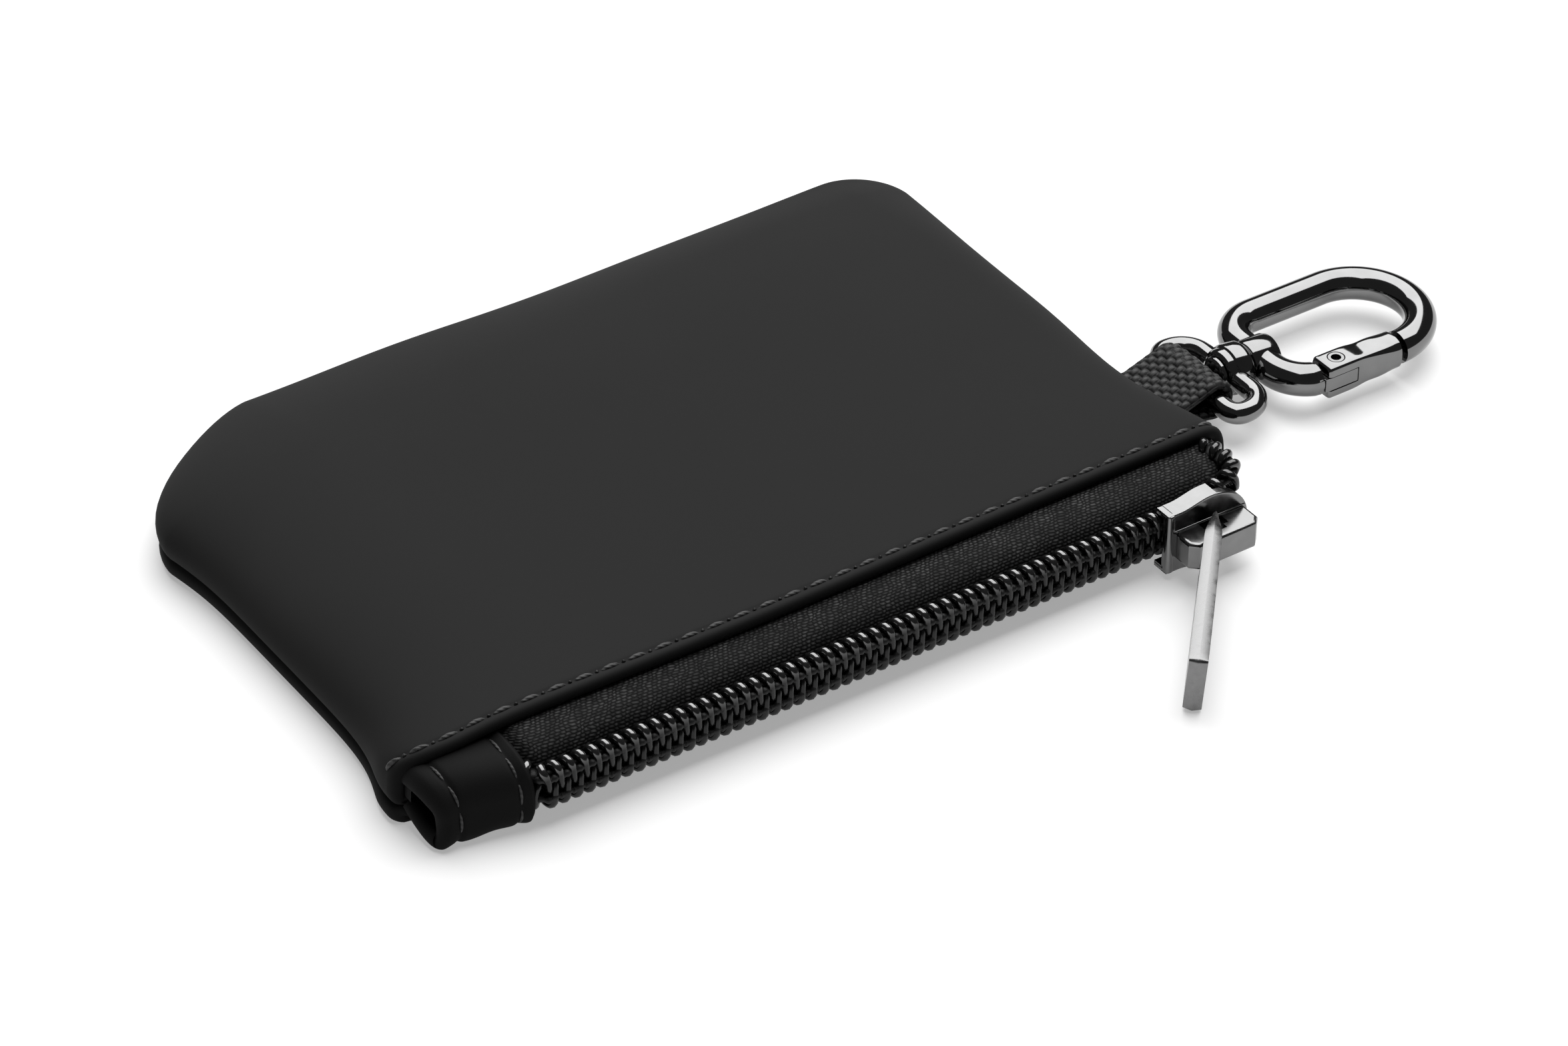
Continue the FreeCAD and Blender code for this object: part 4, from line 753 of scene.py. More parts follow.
def chainAxis(side):
    # middle line of one strand: straight, then away from the other strand inside the slider; beyond it the
    # upper strand curls up and back under the hem, the lower one back under the pouch
    c = coil
    x = np.linspace(c["start"], c["straightEnd"], 700)
    apart = c["spread"] * smoothStep(c["spreadFrom"], c["spreadFrom"] + c["spreadOver"], x)
    z = zipRun["midZ"] + side * (c["offset"] + apart)
    straight = np.stack([x, zipRun["midY"] + zipRun["tuckBack"] * tuck(x), z], -1)
    tail = straight[-1] + bezier(c["curl"], 100) * (1, 1, max(side, 0))
    return np.concatenate([straight, tail[1:]])


def coilStrand(side):
    # one filament wound as a flat oval round the strand's middle line; its outer bends are the thickest
    c = coil
    axis = chainAxis(side)
    travel = travelAlong(axis)
    turns = round(travel[-1] / c["pitch"])
    turn = np.linspace(0, turns, turns * c["steps"] + 1)
    centre = pointsAt(turn * travel[-1] / turns, travel, axis)
    ahead = unit(np.gradient(centre, axis=0))
    tall = np.array([0, 0, 1.0]) * side
    tall = unit(tall - (ahead * tall).sum(-1, keepdims=True) * ahead)
    deep = np.cross(ahead, tall) * side
    phase = 2 * np.pi * (turn + (0.0 if side > 0 else 0.5))
    up, out = [np.sign(wave) * np.abs(wave) ** c["oval"] for wave in (np.cos(phase), np.sin(phase))]
    path = centre + tall * (c["high"] * up)[:, None] + deep * (c["deep"] * out)[:, None]
    facing = deep * out[:, None] + tall * up[:, None]
    radius = c["head"] + (c["bend"] - c["head"]) * smoothStep(-0.4, 0.9, up)
    # a glossy coat for brighter glints goes only on the upper strand's top bends, where the light falls, and
    # less in the curl
    litGloss = smoothStep(0.45, 0.95, up) * max(side, 0)
    litGloss *= 1 - c["dull"] * smoothStep(c["straightEnd"] - c["dullOver"], c["straightEnd"], centre[:, 0])
    return tube(path, radius, c["sides"], facing), np.repeat(np.stack([turn, litGloss], -1), c["sides"], 0)


def seamThread(side):
    # sewing thread drawn tight over the legs: a knotted cord, thick between two legs and thin over each
    c = coil
    x = np.arange(c["start"] + c["seamLead"], c["spreadFrom"] + c["seamOver"], c["seamStep"])
    axis = chainAxis(side)
    straight = axis[axis[:, 0] < c["straightEnd"]]
    y = np.interp(x, straight[:, 0], straight[:, 1]) - c["deep"] - c["seamOut"]
    z = np.interp(x, straight[:, 0], straight[:, 2]) + side * (c["seamAt"] - c["offset"])
    beat = 2 * np.pi * x / c["pitch"]
    path = np.stack([x, y - c["seamDip"] * np.cos(beat), z + c["seamSway"] * np.sin(beat + 0.6)], -1)
    return tube(path, c["seam"] * (1 - c["seamKnot"] + c["seamKnot"] * np.sin(beat * 2)), c["sides"])


def coreCord(side):
    # a round cord flattened inside the windings
    c = coil
    axis = chainAxis(side)[::4]
    points, faces = tube(axis, 1.0, c["coreSides"])
    middle = np.repeat(axis, c["coreSides"], 0)
    return middle + (points - middle) * (1, c["coreDeep"], c["coreHigh"]) + (0, 0, side * c["coreOut"]), faces


for side, word in zipSides:
    strand, strandUv = coilStrand(side)
    makePiece(word + "Coil", strand, coilNylon, "pouch", [word + "_coil"], uv=strandUv)
    makePiece(word + "CoilSeam", seamThread(side), seamYarn, "pouch")
    makePiece(word + "CoreCord", coreCord(side), loopYarn, "pouch", [word + "_core_cord"])
print("coils wound")


# end tab

tab = {"left": -53.2, "right": -42.4, "thick": 0.95, "rollThick": 1.7, "rollWide": 0.95, "rollOut": 0.22,
       "rollReach": 0.8, "thinFrom": 0.8, "thinTo": 2.6,  # rolled left edge
       "edgeOut": 0.22, "edgeIn": 0.5, "edgeReach": 0.45,  # raised right edge
       "stitchInset": 1.6, "leftStitch": 2.4, "groove": 0.2, "grooveReach": 0.35,
       "pitch": 3.1, "stitchLong": 2.4, "stitchRadius": 0.17, "skipFirst": 4, "skipLast": 12,
       "swing": 0.9, "bulge": 2.6, "bulgeEarly": 1.15, "waver": 0.3, "sink": 2.0}


def tabPath():
    # side of the folded strip from under the hem, down the front and back under the chain
    over = bezier([(-33.6, 8.55), (-37.4, 9.1), (-39.4, 7.9), (-39.7, 4.6)], 30)
    down = bezier([(-39.7, 4.6), (-39.95, 2.6), (-40.3, 1.3), (-39.5, 0.35)], 18)
    under = bezier([(-39.5, 0.35), (-39.0, 0.0), (-37.2, 0.05), (-33.6, 1.9)], 16)
    path = np.concatenate([over[:-1], down[:-1], under])
    heading = unit(np.gradient(path, axis=0))
    return path, np.stack([heading[:, 1], -heading[:, 0]], -1)


def tabSway(share, toRight):
    # how the strip leaves its path: its left edge swings right halfway down, its right side bulges forward,
    # its lower part wavers and its upper left part sinks
    t = tab
    swing = t["swing"] * np.sin(np.pi * share) ** 2 * (1 - toRight)
    bulge = t["bulge"] * toRight * np.sin(np.pi * np.clip(share * t["bulgeEarly"], 0, 1))
    waver = t["waver"] * np.sin(toRight * 7.0 + 0.5) ** 2 * smoothStep(0.5, 0.9, share)
    return swing, -bulge, waver - t["sink"] * (1 - toRight) ** 4 * (1 - smoothStep(0.25, 0.65, share))


tabSeams = (tab["left"] + tab["leftStitch"], tab["right"] - tab["stitchInset"])


def tabStrip():
    # the strip's cross-section, with rolled side edges and a groove at each seam, carried down that path
    t = tab
    path, outward = tabPath()
    radius = t["thick"] / 2
    flat = np.linspace(t["left"] + t["rollWide"], t["right"] - radius, 60)
    rightEnd = np.radians(np.linspace(90, -90, 10)[1:-1])
    leftEnd = np.radians(np.linspace(270, 90, 16)[1:-1])
    roll = t["rollOut"] * bell(flat, t["left"] + t["rollWide"], t["rollReach"])
    roll += t["edgeOut"] * bell(flat, t["right"] - t["edgeIn"], t["edgeReach"])
    roll -= sum(t["groove"] * bell(flat, spot, t["grooveReach"]) for spot in tabSeams)
    thin = smoothStep(t["thinFrom"], t["thinTo"], flat - t["left"])
    wall = t["thick"] + (t["rollThick"] - t["thick"]) * (1 - thin)
    half = (t["rollThick"] + t["rollOut"]) / 2
    loopX = np.concatenate([flat, t["right"] - radius + radius * np.cos(rightEnd),
                            flat[::-1], t["left"] + t["rollWide"] * (1 + np.cos(leftEnd))])
    loopH = np.concatenate([roll, -radius + radius * np.sin(rightEnd),
                            -wall[::-1], t["rollOut"] - half + half * np.sin(leftEnd)])
    toRight = (loopX - t["left"])[None, :] / (t["right"] - t["left"])
    x, y, z = tabSway(np.linspace(0, 1, len(path))[:, None], toRight)
    points = np.stack([loopX[None, :] + x, path[:, :1] + outward[:, :1] * loopH[None, :] + y,
                       path[:, 1:] + outward[:, 1:] * loopH[None, :] + z], -1)
    return points.reshape(-1, 3), cappedFaces(len(path), len(loopX))


def tabStitches():
    # a row of stitches in each groove
    t = tab
    path, outward = tabPath()
    normal = np.concatenate([np.zeros((len(path), 1)), outward], -1)
    kept = slice(t["skipFirst"], -t["skipLast"])
    rows = []
    for spot in tabSeams:
        x, y, z = tabSway(np.linspace(0, 1, len(path)), (spot - t["left"]) / (t["right"] - t["left"]))
        line = np.stack([spot + x, path[:, 0] + y, path[:, 1] + z], -1) - normal * t["groove"]
        rows.append(stitchRow(line[kept], normal[kept], t["pitch"], t["stitchLong"], t["stitchRadius"]))
    return joined(*rows)


makePiece("endTab", tabStrip(), shadedTabSkin, "pouch", ["zip_end_tab"])
makePiece("tabStitches", tabStitches(), stitchThread, "pouch")
print("tab folded")


# webbing loop

web = {"low": -24.95, "high": -14.95, "thick": 1.15, "edge": 0.5, "barX": 57.3, "barZ": 4.0, "wrap": 1.95,
       "inX": 48.0, "leaveX": 53.0, "slack": 1.2, "strapZ": 3.55, "layerGap": 0.02, "soften": 19,
       "cellLong": 1.2, "cellWide": 0.95, "relief": 0.37}


def webbingPath():
    # middle line of the strap: out of the seam, round the ring's bar and back in, its bends softened by a
    # moving average
    w = web
    bar = np.array([w["barX"], w["barZ"]])
    gap = bar - [w["leaveX"], w["strapZ"]]
    lean = math.degrees(math.asin(w["wrap"] / np.linalg.norm(gap)))
    ahead = math.degrees(math.atan2(gap[1], gap[0]))
    wrap = arcSteps(bar, w["wrap"], ahead - lean - 90, ahead + lean + 90, 60)
    inside = np.linspace(w["inX"], w["leaveX"] - w["slack"], 20)
    off = np.full(20, w["thick"] / 2 + w["layerGap"])
    low, high = [np.stack([inside, w["strapZ"] + sign * off], -1) for sign in (-1, 1)]
    route = np.concatenate([low, wrap, high[::-1]])
    travel = travelAlong(route)
    fine = np.linspace(0, travel[-1], 330)
    reach = w["soften"] // 2
    kernel = np.hanning(w["soften"])
    padded = np.pad(pointsAt(fine, travel, route), ((reach, reach), (0, 0)), mode="edge")
    return np.stack([np.convolve(column, kernel / kernel.sum(), "valid") for column in padded.T], -1), fine


def webbingStrap():
    # brick pattern of yarn humps on both faces of a flat band. The first texture coordinate is the height
    # of the hump, which the yarn's finish paints paler as a painted highlight and dark in the gaps as painted
    # shade
    w = web
    path, travel = webbingPath()
    heading = unit(np.gradient(path, axis=0))
    outward = np.stack([heading[:, 1], -heading[:, 0]], -1)
    across = np.linspace(w["low"], w["high"], 110)
    y = np.concatenate([across, across[::-1]])
    face = np.repeat([1.0, -1.0], len(across))
    cell = (y - w["low"]) / w["cellWide"]
    wide = np.abs(np.sin(np.pi * cell))
    long = np.abs(np.sin(np.pi * (travel[:, None] / w["cellLong"] + 0.5 * (np.floor(cell) % 2)[None, :])))
    hump = (long * wide[None, :]) ** 0.55
    inward = np.clip(np.minimum(y - w["low"], w["high"] - y) / w["edge"], 0, 1)
    thin = np.sqrt(np.clip(1 - (1 - inward) ** 2, 0.02, 1))[None, :]
    offset = face[None, :] * (w["thick"] / 2 * thin - w["relief"] + w["relief"] * hump * thin)
    points = np.stack([path[:, :1] + outward[:, :1] * offset, np.broadcast_to(y[None, :], offset.shape),
                       path[:, 1:] + outward[:, 1:] * offset], -1)
    uv = np.stack([hump, np.zeros_like(hump)], -1)
    return (points.reshape(-1, 3), cappedFaces(len(path), len(y))), uv


strap, strapUv = webbingStrap()
makePiece("webbingLoop", strap, loopYarn, "pouch", ["webbing_loop"], uv=strapUv)
print("webbing looped")


# swivel ring and post

clip = {"y": -20.6, "z": 4.0}
ringSize = {"barrelX": 61.9, "frontGap": 7.6, "backGap": 7.0, "wire": 1.25, "sides": 28, "barRound": 1.4,
            "barrelRound": 3.0, "wireEnd": 2.25}  # the wire ends in the barrel's wall
barrelProfile = [(60.75, 1.3), (60.75, 2.35), (60.9, 2.6), (61.15, 2.72), (61.75, 2.75), (61.83, 2.86),
                 (61.95, 2.98), (62.15, 3.02), (63.45, 3.0), (63.8, 2.92), (64.05, 2.75), (64.15, 2.5),
                 (64.15, 1.3)]
postProfile = [(60.05, 0.02), (60.05, 1.2), (60.1, 1.7), (60.2, 2.0), (60.35, 2.1), (60.6, 2.1), (60.6, 1.2),
               (65.4, 1.2), (65.4, 0.02)]
origin = (0, clip["y"], clip["z"])


def atClip(flat):
    # a path drawn flat, at the clip's level
    return np.concatenate([flat, np.full((len(flat), 1), clip["z"])], -1)


def ringWire():
    # from one side of the barrel round the webbing's bar to the other side
    r, y = ringSize, clip["y"]
    low, high = y - r["frontGap"], y + r["backGap"]
    barX, barrelX = web["barX"] + r["barRound"], r["barrelX"] - r["barrelRound"]
    return tube(atClip(np.concatenate([
        [[r["barrelX"], y + r["wireEnd"]]],
        arcSteps((barrelX, high - r["barrelRound"]), r["barrelRound"], 0, 90, 18),
        arcSteps((barX, high - r["barRound"]), r["barRound"], 90, 180, 14),
        arcSteps((barX, low + r["barRound"]), r["barRound"], 180, 270, 14),
        arcSteps((barrelX, low + r["barrelRound"]), r["barrelRound"], 270, 360, 18),
        [[r["barrelX"], y - r["wireEnd"]]]])), r["wire"], r["sides"])


ringPart = joined(ringWire(), turned(barrelProfile, origin, 64, True))
makePiece("swivelRing", ringPart, gunMetal, "ring", ["swivel_ring"], sharp=50)
makePiece("swivelPost", turned(postProfile, origin), gunMetal, "hook",
          ["swivel_post"], sharp=50)
print("swivel turned")


# hook and gate

hook = {"sideX": 66.3, "endX": 80.75, "halfWidth": 7.1, "wire": 1.95, "sides": 36, "corner": 4.4,
        "armTurn": 251, "armEnd": 69.2, "armDeep": 2.6}  # the front arm stops short of the gate
gateBar = {"left": 69.75, "right": 80.15, "midY": -27.7, "wide": 3.5, "high": 4.2, "rows": 60, "sides": 72,
           "boxy": 7.0, "rounder": 4.3, "widen": 0.2, "lower": 0.12, "waist": 0.12, "waistAt": 0.55,
           "waistReach": 0.13,
           "endAlong": [0, 0.012, 0.03, 0.98, 0.992, 1], "endShrink": [0.88, 0.96, 1, 1, 0.97, 0.9],
           "slotEnd": 73.9, "slotHalf": 0.95, "slotRound": 0.05, "overcut": 4.0,
           "pinX": 71.85, "pinRadius": 1.0, "pinGap": 0.06}
tongue = {"root": 68.6, "rootY": -29.1, "faceFrom": 69.25, "faceTo": 73.78, "faceY": -29.4, "lipY": -29.2,
          "end": 73.4, "round": 1.55, "roundTo": 69, "backY": -26.25,
          "low": 3.15, "high": 4.85, "bevel": 0.04}
bossProfile = [(64.3, 1.25), (64.3, 2.1), (64.4, 2.4), (64.65, 2.55), (65.2, 2.6), (67.5, 2.55), (68.1, 2.3),
               (68.35, 1.6), (68.35, 0.02)]
rivetProfile = [(-2.08, 0.6), (-2.08, 0.92), (-2.0, 1.0), (2.0, 1.0), (2.08, 0.92), (2.08, 0.6), (1.6, 0.56),
                (-1.6, 0.56)]


def hookWire():
    # round wire from the front arm round the boss and the nose
    h, y = hook, clip["y"]
    low, high = y - h["halfWidth"], y + h["halfWidth"]
    cornerX = h["sideX"] + h["corner"]
    front = arcSteps((cornerX, low + h["corner"]), h["corner"], h["armTurn"], 180, 22)
    back = arcSteps((cornerX, high - h["corner"]), h["corner"], 180, 90, 26)
    nose = arcSteps((h["endX"], y), h["halfWidth"], 90, -90, 60)
    points, faces = tube(atClip(np.concatenate([front, back, nose])), h["wire"], h["sides"])
    # the arm is cut square at armEnd, where the gate's corner still clears it when open
    arm = (points[:, 1] < low + h["armDeep"]) & (points[:, 0] < cornerX)
    points[:, 0] = np.where(arm, np.minimum(points[:, 0], h["armEnd"]), points[:, 0])
    points[:h["sides"], 0] = h["armEnd"]
    return points, faces


def hookTongue():
    # its face fills the gate's slot, a thin lip covers the spring, and its round end lets the gate swing
    t, pin = tongue, (gateBar["pinX"], gateBar["midY"])
    outline = [[t["root"], t["rootY"]], [t["faceFrom"], t["rootY"]], [t["faceFrom"], t["faceY"]],
               [t["faceTo"], t["faceY"]], [t["faceTo"], t["lipY"]], [t["end"], t["lipY"]],
               *arcSteps(pin, t["round"], 0, t["roundTo"], 14), [t["root"], t["backY"]]]
    return prism(outline, t["low"], t["high"], t["bevel"], asDrawn)


def gateLoft():
    # superellipse sections from a flat-topped box round the rivet to a nearly round end beside the nose
    g = gateBar
    along = np.linspace(0, 1, g["rows"])
    shrink = np.interp(along, g["endAlong"], g["endShrink"])
    waist = g["waist"] * bell(along, g["waistAt"], g["waistReach"])
    halfWide = g["wide"] / 2 + g["widen"] * smoothStep(0.4, 0.9, along) - waist
    halfHigh = g["high"] / 2 - g["lower"] * smoothStep(0.3, 0.9, along) - waist
    root = (2 / (g["boxy"] - g["rounder"] * smoothStep(0.35, 0.95, along)))[:, None]
    turn = np.linspace(0, 2 * np.pi, g["sides"], endpoint=False)[None, :]
    y, z = [np.sign(wave) * np.abs(wave) ** root * (half * shrink)[:, None]
            for wave, half in ((np.cos(turn), halfWide), (np.sin(turn), halfHigh))]
    x = np.repeat((g["left"] + (g["right"] - g["left"]) * along)[:, None], g["sides"], 1)
    points = np.stack([x, y + g["midY"], z + clip["z"]], -1)
    return points.reshape(-1, 3), cappedFaces(g["rows"], g["sides"])


def hangGate():
    # the gate's bar with a slot for the tongue and a hole for the rivet, and the rivet
    g = gateBar
    gate = makePiece("gateBar", gateLoft(), gunMetal, "hook_gate", ["gate"])
    slotLow, slotHigh = clip["z"] - g["slotHalf"], clip["z"] + g["slotHalf"]
    slot = roundedBox((g["left"] - 1, slotLow), (g["slotEnd"], slotHigh), g["slotRound"], 2)
    hole = arcSteps((g["pinX"], g["midY"]), g["pinRadius"] + g["pinGap"], 0, 360, 33)[:-1]
    carve(gate, 40, slotCutter=prism(slot, g["midY"] - g["overcut"], g["midY"] + g["overcut"], 0.0, layFlat),
          pinCutter=prism(hole, -2, 10, 0.0, asDrawn))
    points, faces = turned(rivetProfile, (0, 0, 0), 32, True)
    rivet = points[:, [1, 2, 0]] + (g["pinX"], g["midY"], clip["z"])
    makePiece("gateRivet", (rivet, faces), nickel, "hook", ["gate_pin"], sharp=40)


hookPart = joined(hookWire(), turned(bossProfile, origin), hookTongue())
makePiece("hookBody", hookPart, gunMetal, "hook", ["hook_body"], sharp=45)
hangGate()
print("hook bent, gate hung")


# zip slider

slide = {"rear": 36.0, "nose": 46.8, "midZ": 4.65, "rearHalf": 3.8, "flareHalf": 4.45, "stepFrom": 37.6,
         "stepTo": 41.6, "domeFrom": 41.8, "frontY": -44.05, "frontThick": 1.1, "backY": -39.3,
         "backThick": 0.9, "backShare": 0.45, "plateBevel": 0.18, "flange": 0.66, "flangeDeep": 2.3,
         "flangeEnd": 42.4, "flangeBevel": 0.12, "proud": 0.02, "over": 0.05,
         "lip": 0.95, "lipOut": 0.15, "lipDeep": 1.0, "lipRound": 0.42, "lipBevel": 0.2,  # rolled rear edge
         "rollFrom": 0.2, "rollRound": 0.32, "rollBevel": 0.25,  # rolled ends of the rails
         "ledgeRear": 0.6, "ledgeNose": 0.5, "ledgeOut": 0.1, "ledgeSide": 0.2, "ledgeBevel": 0.1}
bridge = {"rear": 36.9, "front": 46.2, "top": -47.4, "low": 2.7, "high": 6.1, "slope": 0.9, "round": 0.4,
          "sunk": 0.2, "windowX": (39.9, 42.2, 42.9), "windowY": (-46.3, -45.6, -44.2)}  # a stepped window


def sliderHalf(x):
    # half height of the plates: narrow at the rear, an S up to the flare, then a rounded nose
    s = slide
    flare = s["rearHalf"] + (s["flareHalf"] - s["rearHalf"]) * smoothStep(s["stepFrom"], s["stepTo"], x)
    dome = np.sqrt(np.clip(1 - ((x - s["domeFrom"]) / (s["nose"] - s["domeFrom"])) ** 2, 0, 1))
    return flare * np.where(x > s["domeFrom"], dome, 1.0)


def sliderOutline(share=1.0):
    s = slide
    turn = np.linspace(0, np.pi / 2, 18)[1:]
    x = np.concatenate([np.linspace(s["rear"], s["domeFrom"], 26),
                        s["domeFrom"] + (s["nose"] - s["domeFrom"]) * np.sin(turn)])
    half = sliderHalf(x) * share
    top = np.stack([x, s["midZ"] + half], -1)
    bottom = np.stack([x, s["midZ"] - half], -1)[::-1]
    return np.concatenate([bottom[1:], top[:-1]])[::-1]


def flangeOutline(sign):
    s = slide
    x = np.linspace(s["rear"], s["flangeEnd"], 24)
    half = sliderHalf(np.minimum(x, s["domeFrom"])) + s["proud"]
    outer = np.stack([x, s["midZ"] + sign * half], -1)
    inner = np.stack([x, s["midZ"] + sign * (half - s["flange"])], -1)[::-1]
    return np.concatenate([outer, inner])


def sliderBlock():
    # front and back plates, rails along the front plate, rolled edges, and the ledge that carries the bridge.
    # The wedge between the plates is left out, because the drawn chain stays closed where the slider goes
    s = slide
    rear, lipEnd, front = s["rear"] - s["over"], s["rear"] + s["lip"], s["frontY"]
    plates = [prism(sliderOutline(share), y, y + thick, s["plateBevel"], layFlat)
              for share, y, thick in ((1.0, front, s["frontThick"]),
                                      (s["backShare"], s["backY"], s["backThick"]))]
    railEnd = front + s["flangeDeep"]
    flanges = [prism(flangeOutline(sign), front + s["proud"], railEnd, s["flangeBevel"], layFlat)
               for sign in (1, -1)]
    rollHigh = s["rearHalf"] + s["over"]
    rolls = [prism(roundedBox((rear, low), (lipEnd, low + s["flange"]), s["rollRound"]),
                   front + s["rollFrom"], railEnd + s["over"], s["rollBevel"], layFlat)
             for low in (s["midZ"] + rollHigh - s["flange"], s["midZ"] - rollHigh)]
    lipHalf = s["rearHalf"] - s["proud"]
    lip = prism(roundedBox((rear, front - s["lipOut"]), (lipEnd, front + s["lipDeep"]), s["lipRound"]),
                s["midZ"] - lipHalf, s["midZ"] + lipHalf, s["lipBevel"], asDrawn)
    ledgeRear, ledgeNose = s["rear"] + s["ledgeRear"], s["nose"] - s["ledgeNose"]
    top, foot = front - s["ledgeOut"], front + bridge["sunk"]
    ledge = prism([(ledgeRear, top), (ledgeNose, top), (ledgeNose, foot), (ledgeRear, foot)],
                  bridge["low"] - s["ledgeSide"], bridge["high"] + s["ledgeSide"], s["ledgeBevel"], asDrawn)
    return joined(*plates, *flanges, *rolls, lip, ledge)


def bridgeCrown():
    # block with sloped ends, cut through by the stepped window
    b = bridge
    base, shoulderY = slide["frontY"] + b["sunk"], b["top"] + b["slope"]
    outline = [(b["rear"], base), (b["front"], base), (b["front"], shoulderY),
               (b["front"] - b["slope"], b["top"]), (b["rear"] + b["slope"], b["top"]),
               (b["rear"], shoulderY)]
    block = prism(outline, b["low"], b["high"], b["round"], asDrawn)
    crown = makePiece("sliderBridge", block, nickel, "slider", ["slider_bridge"])
    (rear, step, front), (top, middle, foot) = b["windowX"], b["windowY"]
    window = [(rear, top), (step, top), (step, middle), (front, middle), (front, foot), (rear, foot)]
    carve(crown, 35, windowCutter=prism(window, 0, 10, 0.0, asDrawn))


makePiece("sliderBody", sliderBlock(), nickel, "slider", ["slider_body"], sharp=40)
bridgeCrown()
print("slider shaped")


# puller

pull = {"x": 41.2, "y": -45.15, "z": 4.9, "angle": 41.5, "length": 25.2, "wide": 7.0, "thick": 1.9,
        "bar": 1.2, "eye": 5.8, "eyeLow": -2.45, "eyeHigh": 2.2, "round": 0.55, "ridge": 0.26, "pad": 0.04,
        "roll": 4.0, "droop": 1.3,
        "thin": 0.3, "thinFrom": -0.8, "thinTo": 4.5, "swell": 0.06, "swellTo": 20.0,  # thickness
        "neck": 0.9, "neckFrom": -1.0, "neckTo": 3.5}  # narrower beside the pivot


def pullPlace(along, up, across):
    # along runs from the pivot down the tab, across through its thickness; the tab leans over a little, and
    # its free end hangs lower. Towards the pivot it thins to a tongue
    q = pull
    angle, roll = math.radians(q["angle"]), math.radians(q["roll"])
    across = across * (q["thin"] + (1 - q["thin"]) * smoothStep(q["thinFrom"], q["thinTo"], along)
                       + q["swell"] * smoothStep(q["thinTo"], q["swellTo"], along))
    side = across * math.cos(roll) + up * math.sin(roll)
    rise = up * math.cos(roll) - across * math.sin(roll) - q["droop"] * along / q["length"]
    x = -along * math.sin(angle) + side * math.cos(angle)
    y = -along * math.cos(angle) - side * math.sin(angle)
    return q["x"] + x, q["y"] + y, q["z"] + rise


def pullSheet():
    # the edge is cut to a low ridge all round
    q = pull
    half, edge, pad, ridge = q["wide"] / 2, q["thick"] / 2, q["pad"], q["ridge"]
    straight = np.linspace(q["length"] - q["round"], -q["bar"] / 2, 30)[1:]
    top = np.stack([straight, half - q["neck"] * (1 - smoothStep(q["neckFrom"], q["neckTo"], straight))], -1)
    corner = arcSteps((q["length"] - q["round"], half - q["round"]), q["round"], 0, 90, 8)
    outline = np.concatenate([corner, top, top[::-1] * (1, -1), corner[::-1] * (1, -1)])
    low = [(-edge, ridge + pad), (-edge, ridge), (-edge + pad, ridge - pad * 0.4), (-pad, pad * 0.4)]
    return rimmed(outline, low + [(-depth, inset) for depth, inset in low[::-1]], pullPlace)


def cutPull():
    q = pull
    puller = makePiece("pullTab", pullSheet(), pullSteel, "puller", ["pull_tab"])
    near, far, low, high = q["bar"] / 2, q["eye"], q["eyeLow"], q["eyeHigh"]
    eye = [(near, low), (far, low), (far, high), (near, high)]
    carve(puller, 30, eyeCutter=prism(eye, -3, 3, 0.0, pullPlace))


cutPull()
print("puller cut")

for node in ("lock_pawl", "gate_spring"):  # hidden pieces keep their solids
    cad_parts[node].data.materials.clear()
    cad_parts[node].data.materials.append(springSteel)


# stage, light and camera

stage = {"half": 3000.0, "floorLevel": 0.62, "glow": 0.36, "sky": 0.06}
overhead = {"place": (475.0, 550.0, 900.0), "size": (1350.0, 1700.0), "power": 29.0}
view = {"azimuth": -33.826, "elevation": 36.535, "focalPixels": 8145.1, "imageWidth": 2350.0, "sensor": 36.0,
        "near": 10.0, "far": 20000.0, "place": (-258.02, -408.88, 353.60)}


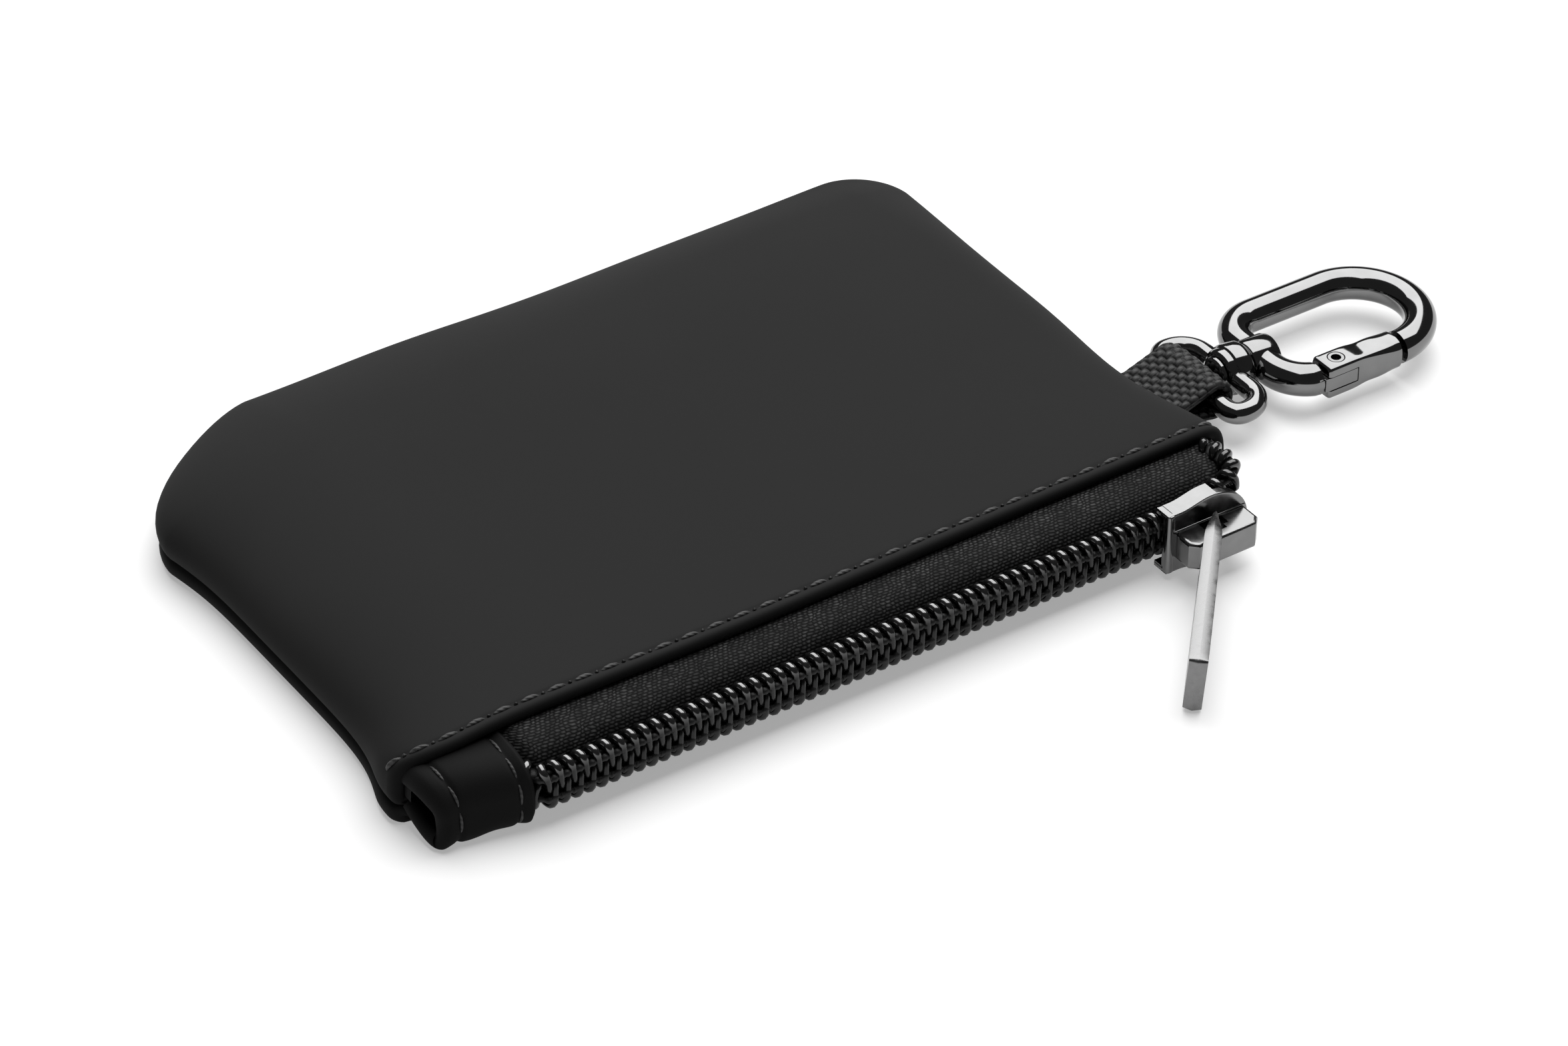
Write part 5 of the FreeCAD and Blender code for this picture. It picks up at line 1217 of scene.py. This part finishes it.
def paleFloor():
    # pale floor that keeps the shadow; a faint glow seen by camera and mirror rays brings it up to white
    material, nodes, links, shader = newFinish("paleFloor")
    shader.inputs["Base Color"].default_value = grey(stage["floorLevel"])
    shader.inputs["Roughness"].default_value = 0.9
    shader.inputs["Specular IOR Level"].default_value = 0.0
    shader.inputs["Emission Color"].default_value = grey(1)
    rays = nodes.new("ShaderNodeLightPath").outputs
    seen = rays["Is Camera Ray"]
    for ray in ("Is Glossy Ray", "Is Transmission Ray"):
        seen = combine(nodes, links, "MAXIMUM", seen, rays[ray])
    links.new(combine(nodes, links, "MULTIPLY", seen, stage["glow"]), shader.inputs["Emission Strength"])
    half = stage["half"] * mm
    mesh = bpy.data.meshes.new("floor")
    corners = [(-half, -half, 0), (half, -half, 0), (half, half, 0), (-half, half, 0)]
    mesh.from_pydata(corners, [], [(0, 1, 2, 3)])
    floor = bpy.data.objects.new("floor", mesh)
    mesh.materials.append(material)
    scene.collection.objects.link(floor)


def standAt(name, data, right, back, place):
    # an object with its x axis to the right and its z axis away from what it looks at
    up = np.cross(back, right)
    item = bpy.data.objects.new(name, data)
    scene.collection.objects.link(item)
    place = np.asarray(place) * mm
    item.matrix_world = Matrix([[right[k], up[k], back[k], place[k]] for k in range(3)] + [[0, 0, 0, 1]])
    return item


def overheadLight():
    light = bpy.data.lights.new("overheadLight", "AREA")
    light.shape = "RECTANGLE"
    light.size, light.size_y = [side * mm for side in overhead["size"]]
    light.energy = overhead["power"]
    standAt("overheadLight", light, (1.0, 0.0, 0.0), (0.0, 0.0, 1.0), overhead["place"])


def whiteSky():
    world = bpy.data.worlds.new("studio")
    scene.world = world
    world.use_nodes = True
    background = world.node_tree.nodes["Background"]
    background.inputs["Color"].default_value = grey(1)
    background.inputs["Strength"].default_value = stage["sky"]


def photoCamera():
    v = view
    azimuth, elevation = math.radians(v["azimuth"]), math.radians(v["elevation"])
    level = math.cos(elevation)
    data = bpy.data.cameras.new("photoCamera")
    data.sensor_fit = "HORIZONTAL"
    data.sensor_width = v["sensor"]
    data.lens = v["focalPixels"] / v["imageWidth"] * v["sensor"]
    data.clip_start, data.clip_end = v["near"] * mm, v["far"] * mm
    right = (math.cos(azimuth), math.sin(azimuth), 0.0)
    back = (math.sin(azimuth) * level, -math.cos(azimuth) * level, math.sin(elevation))
    scene.camera = standAt("photoCamera", data, right, back, v["place"])


paleFloor()
overheadLight()
whiteSky()
photoCamera()
scene.view_settings.view_transform = "Standard"
print("stage lit")
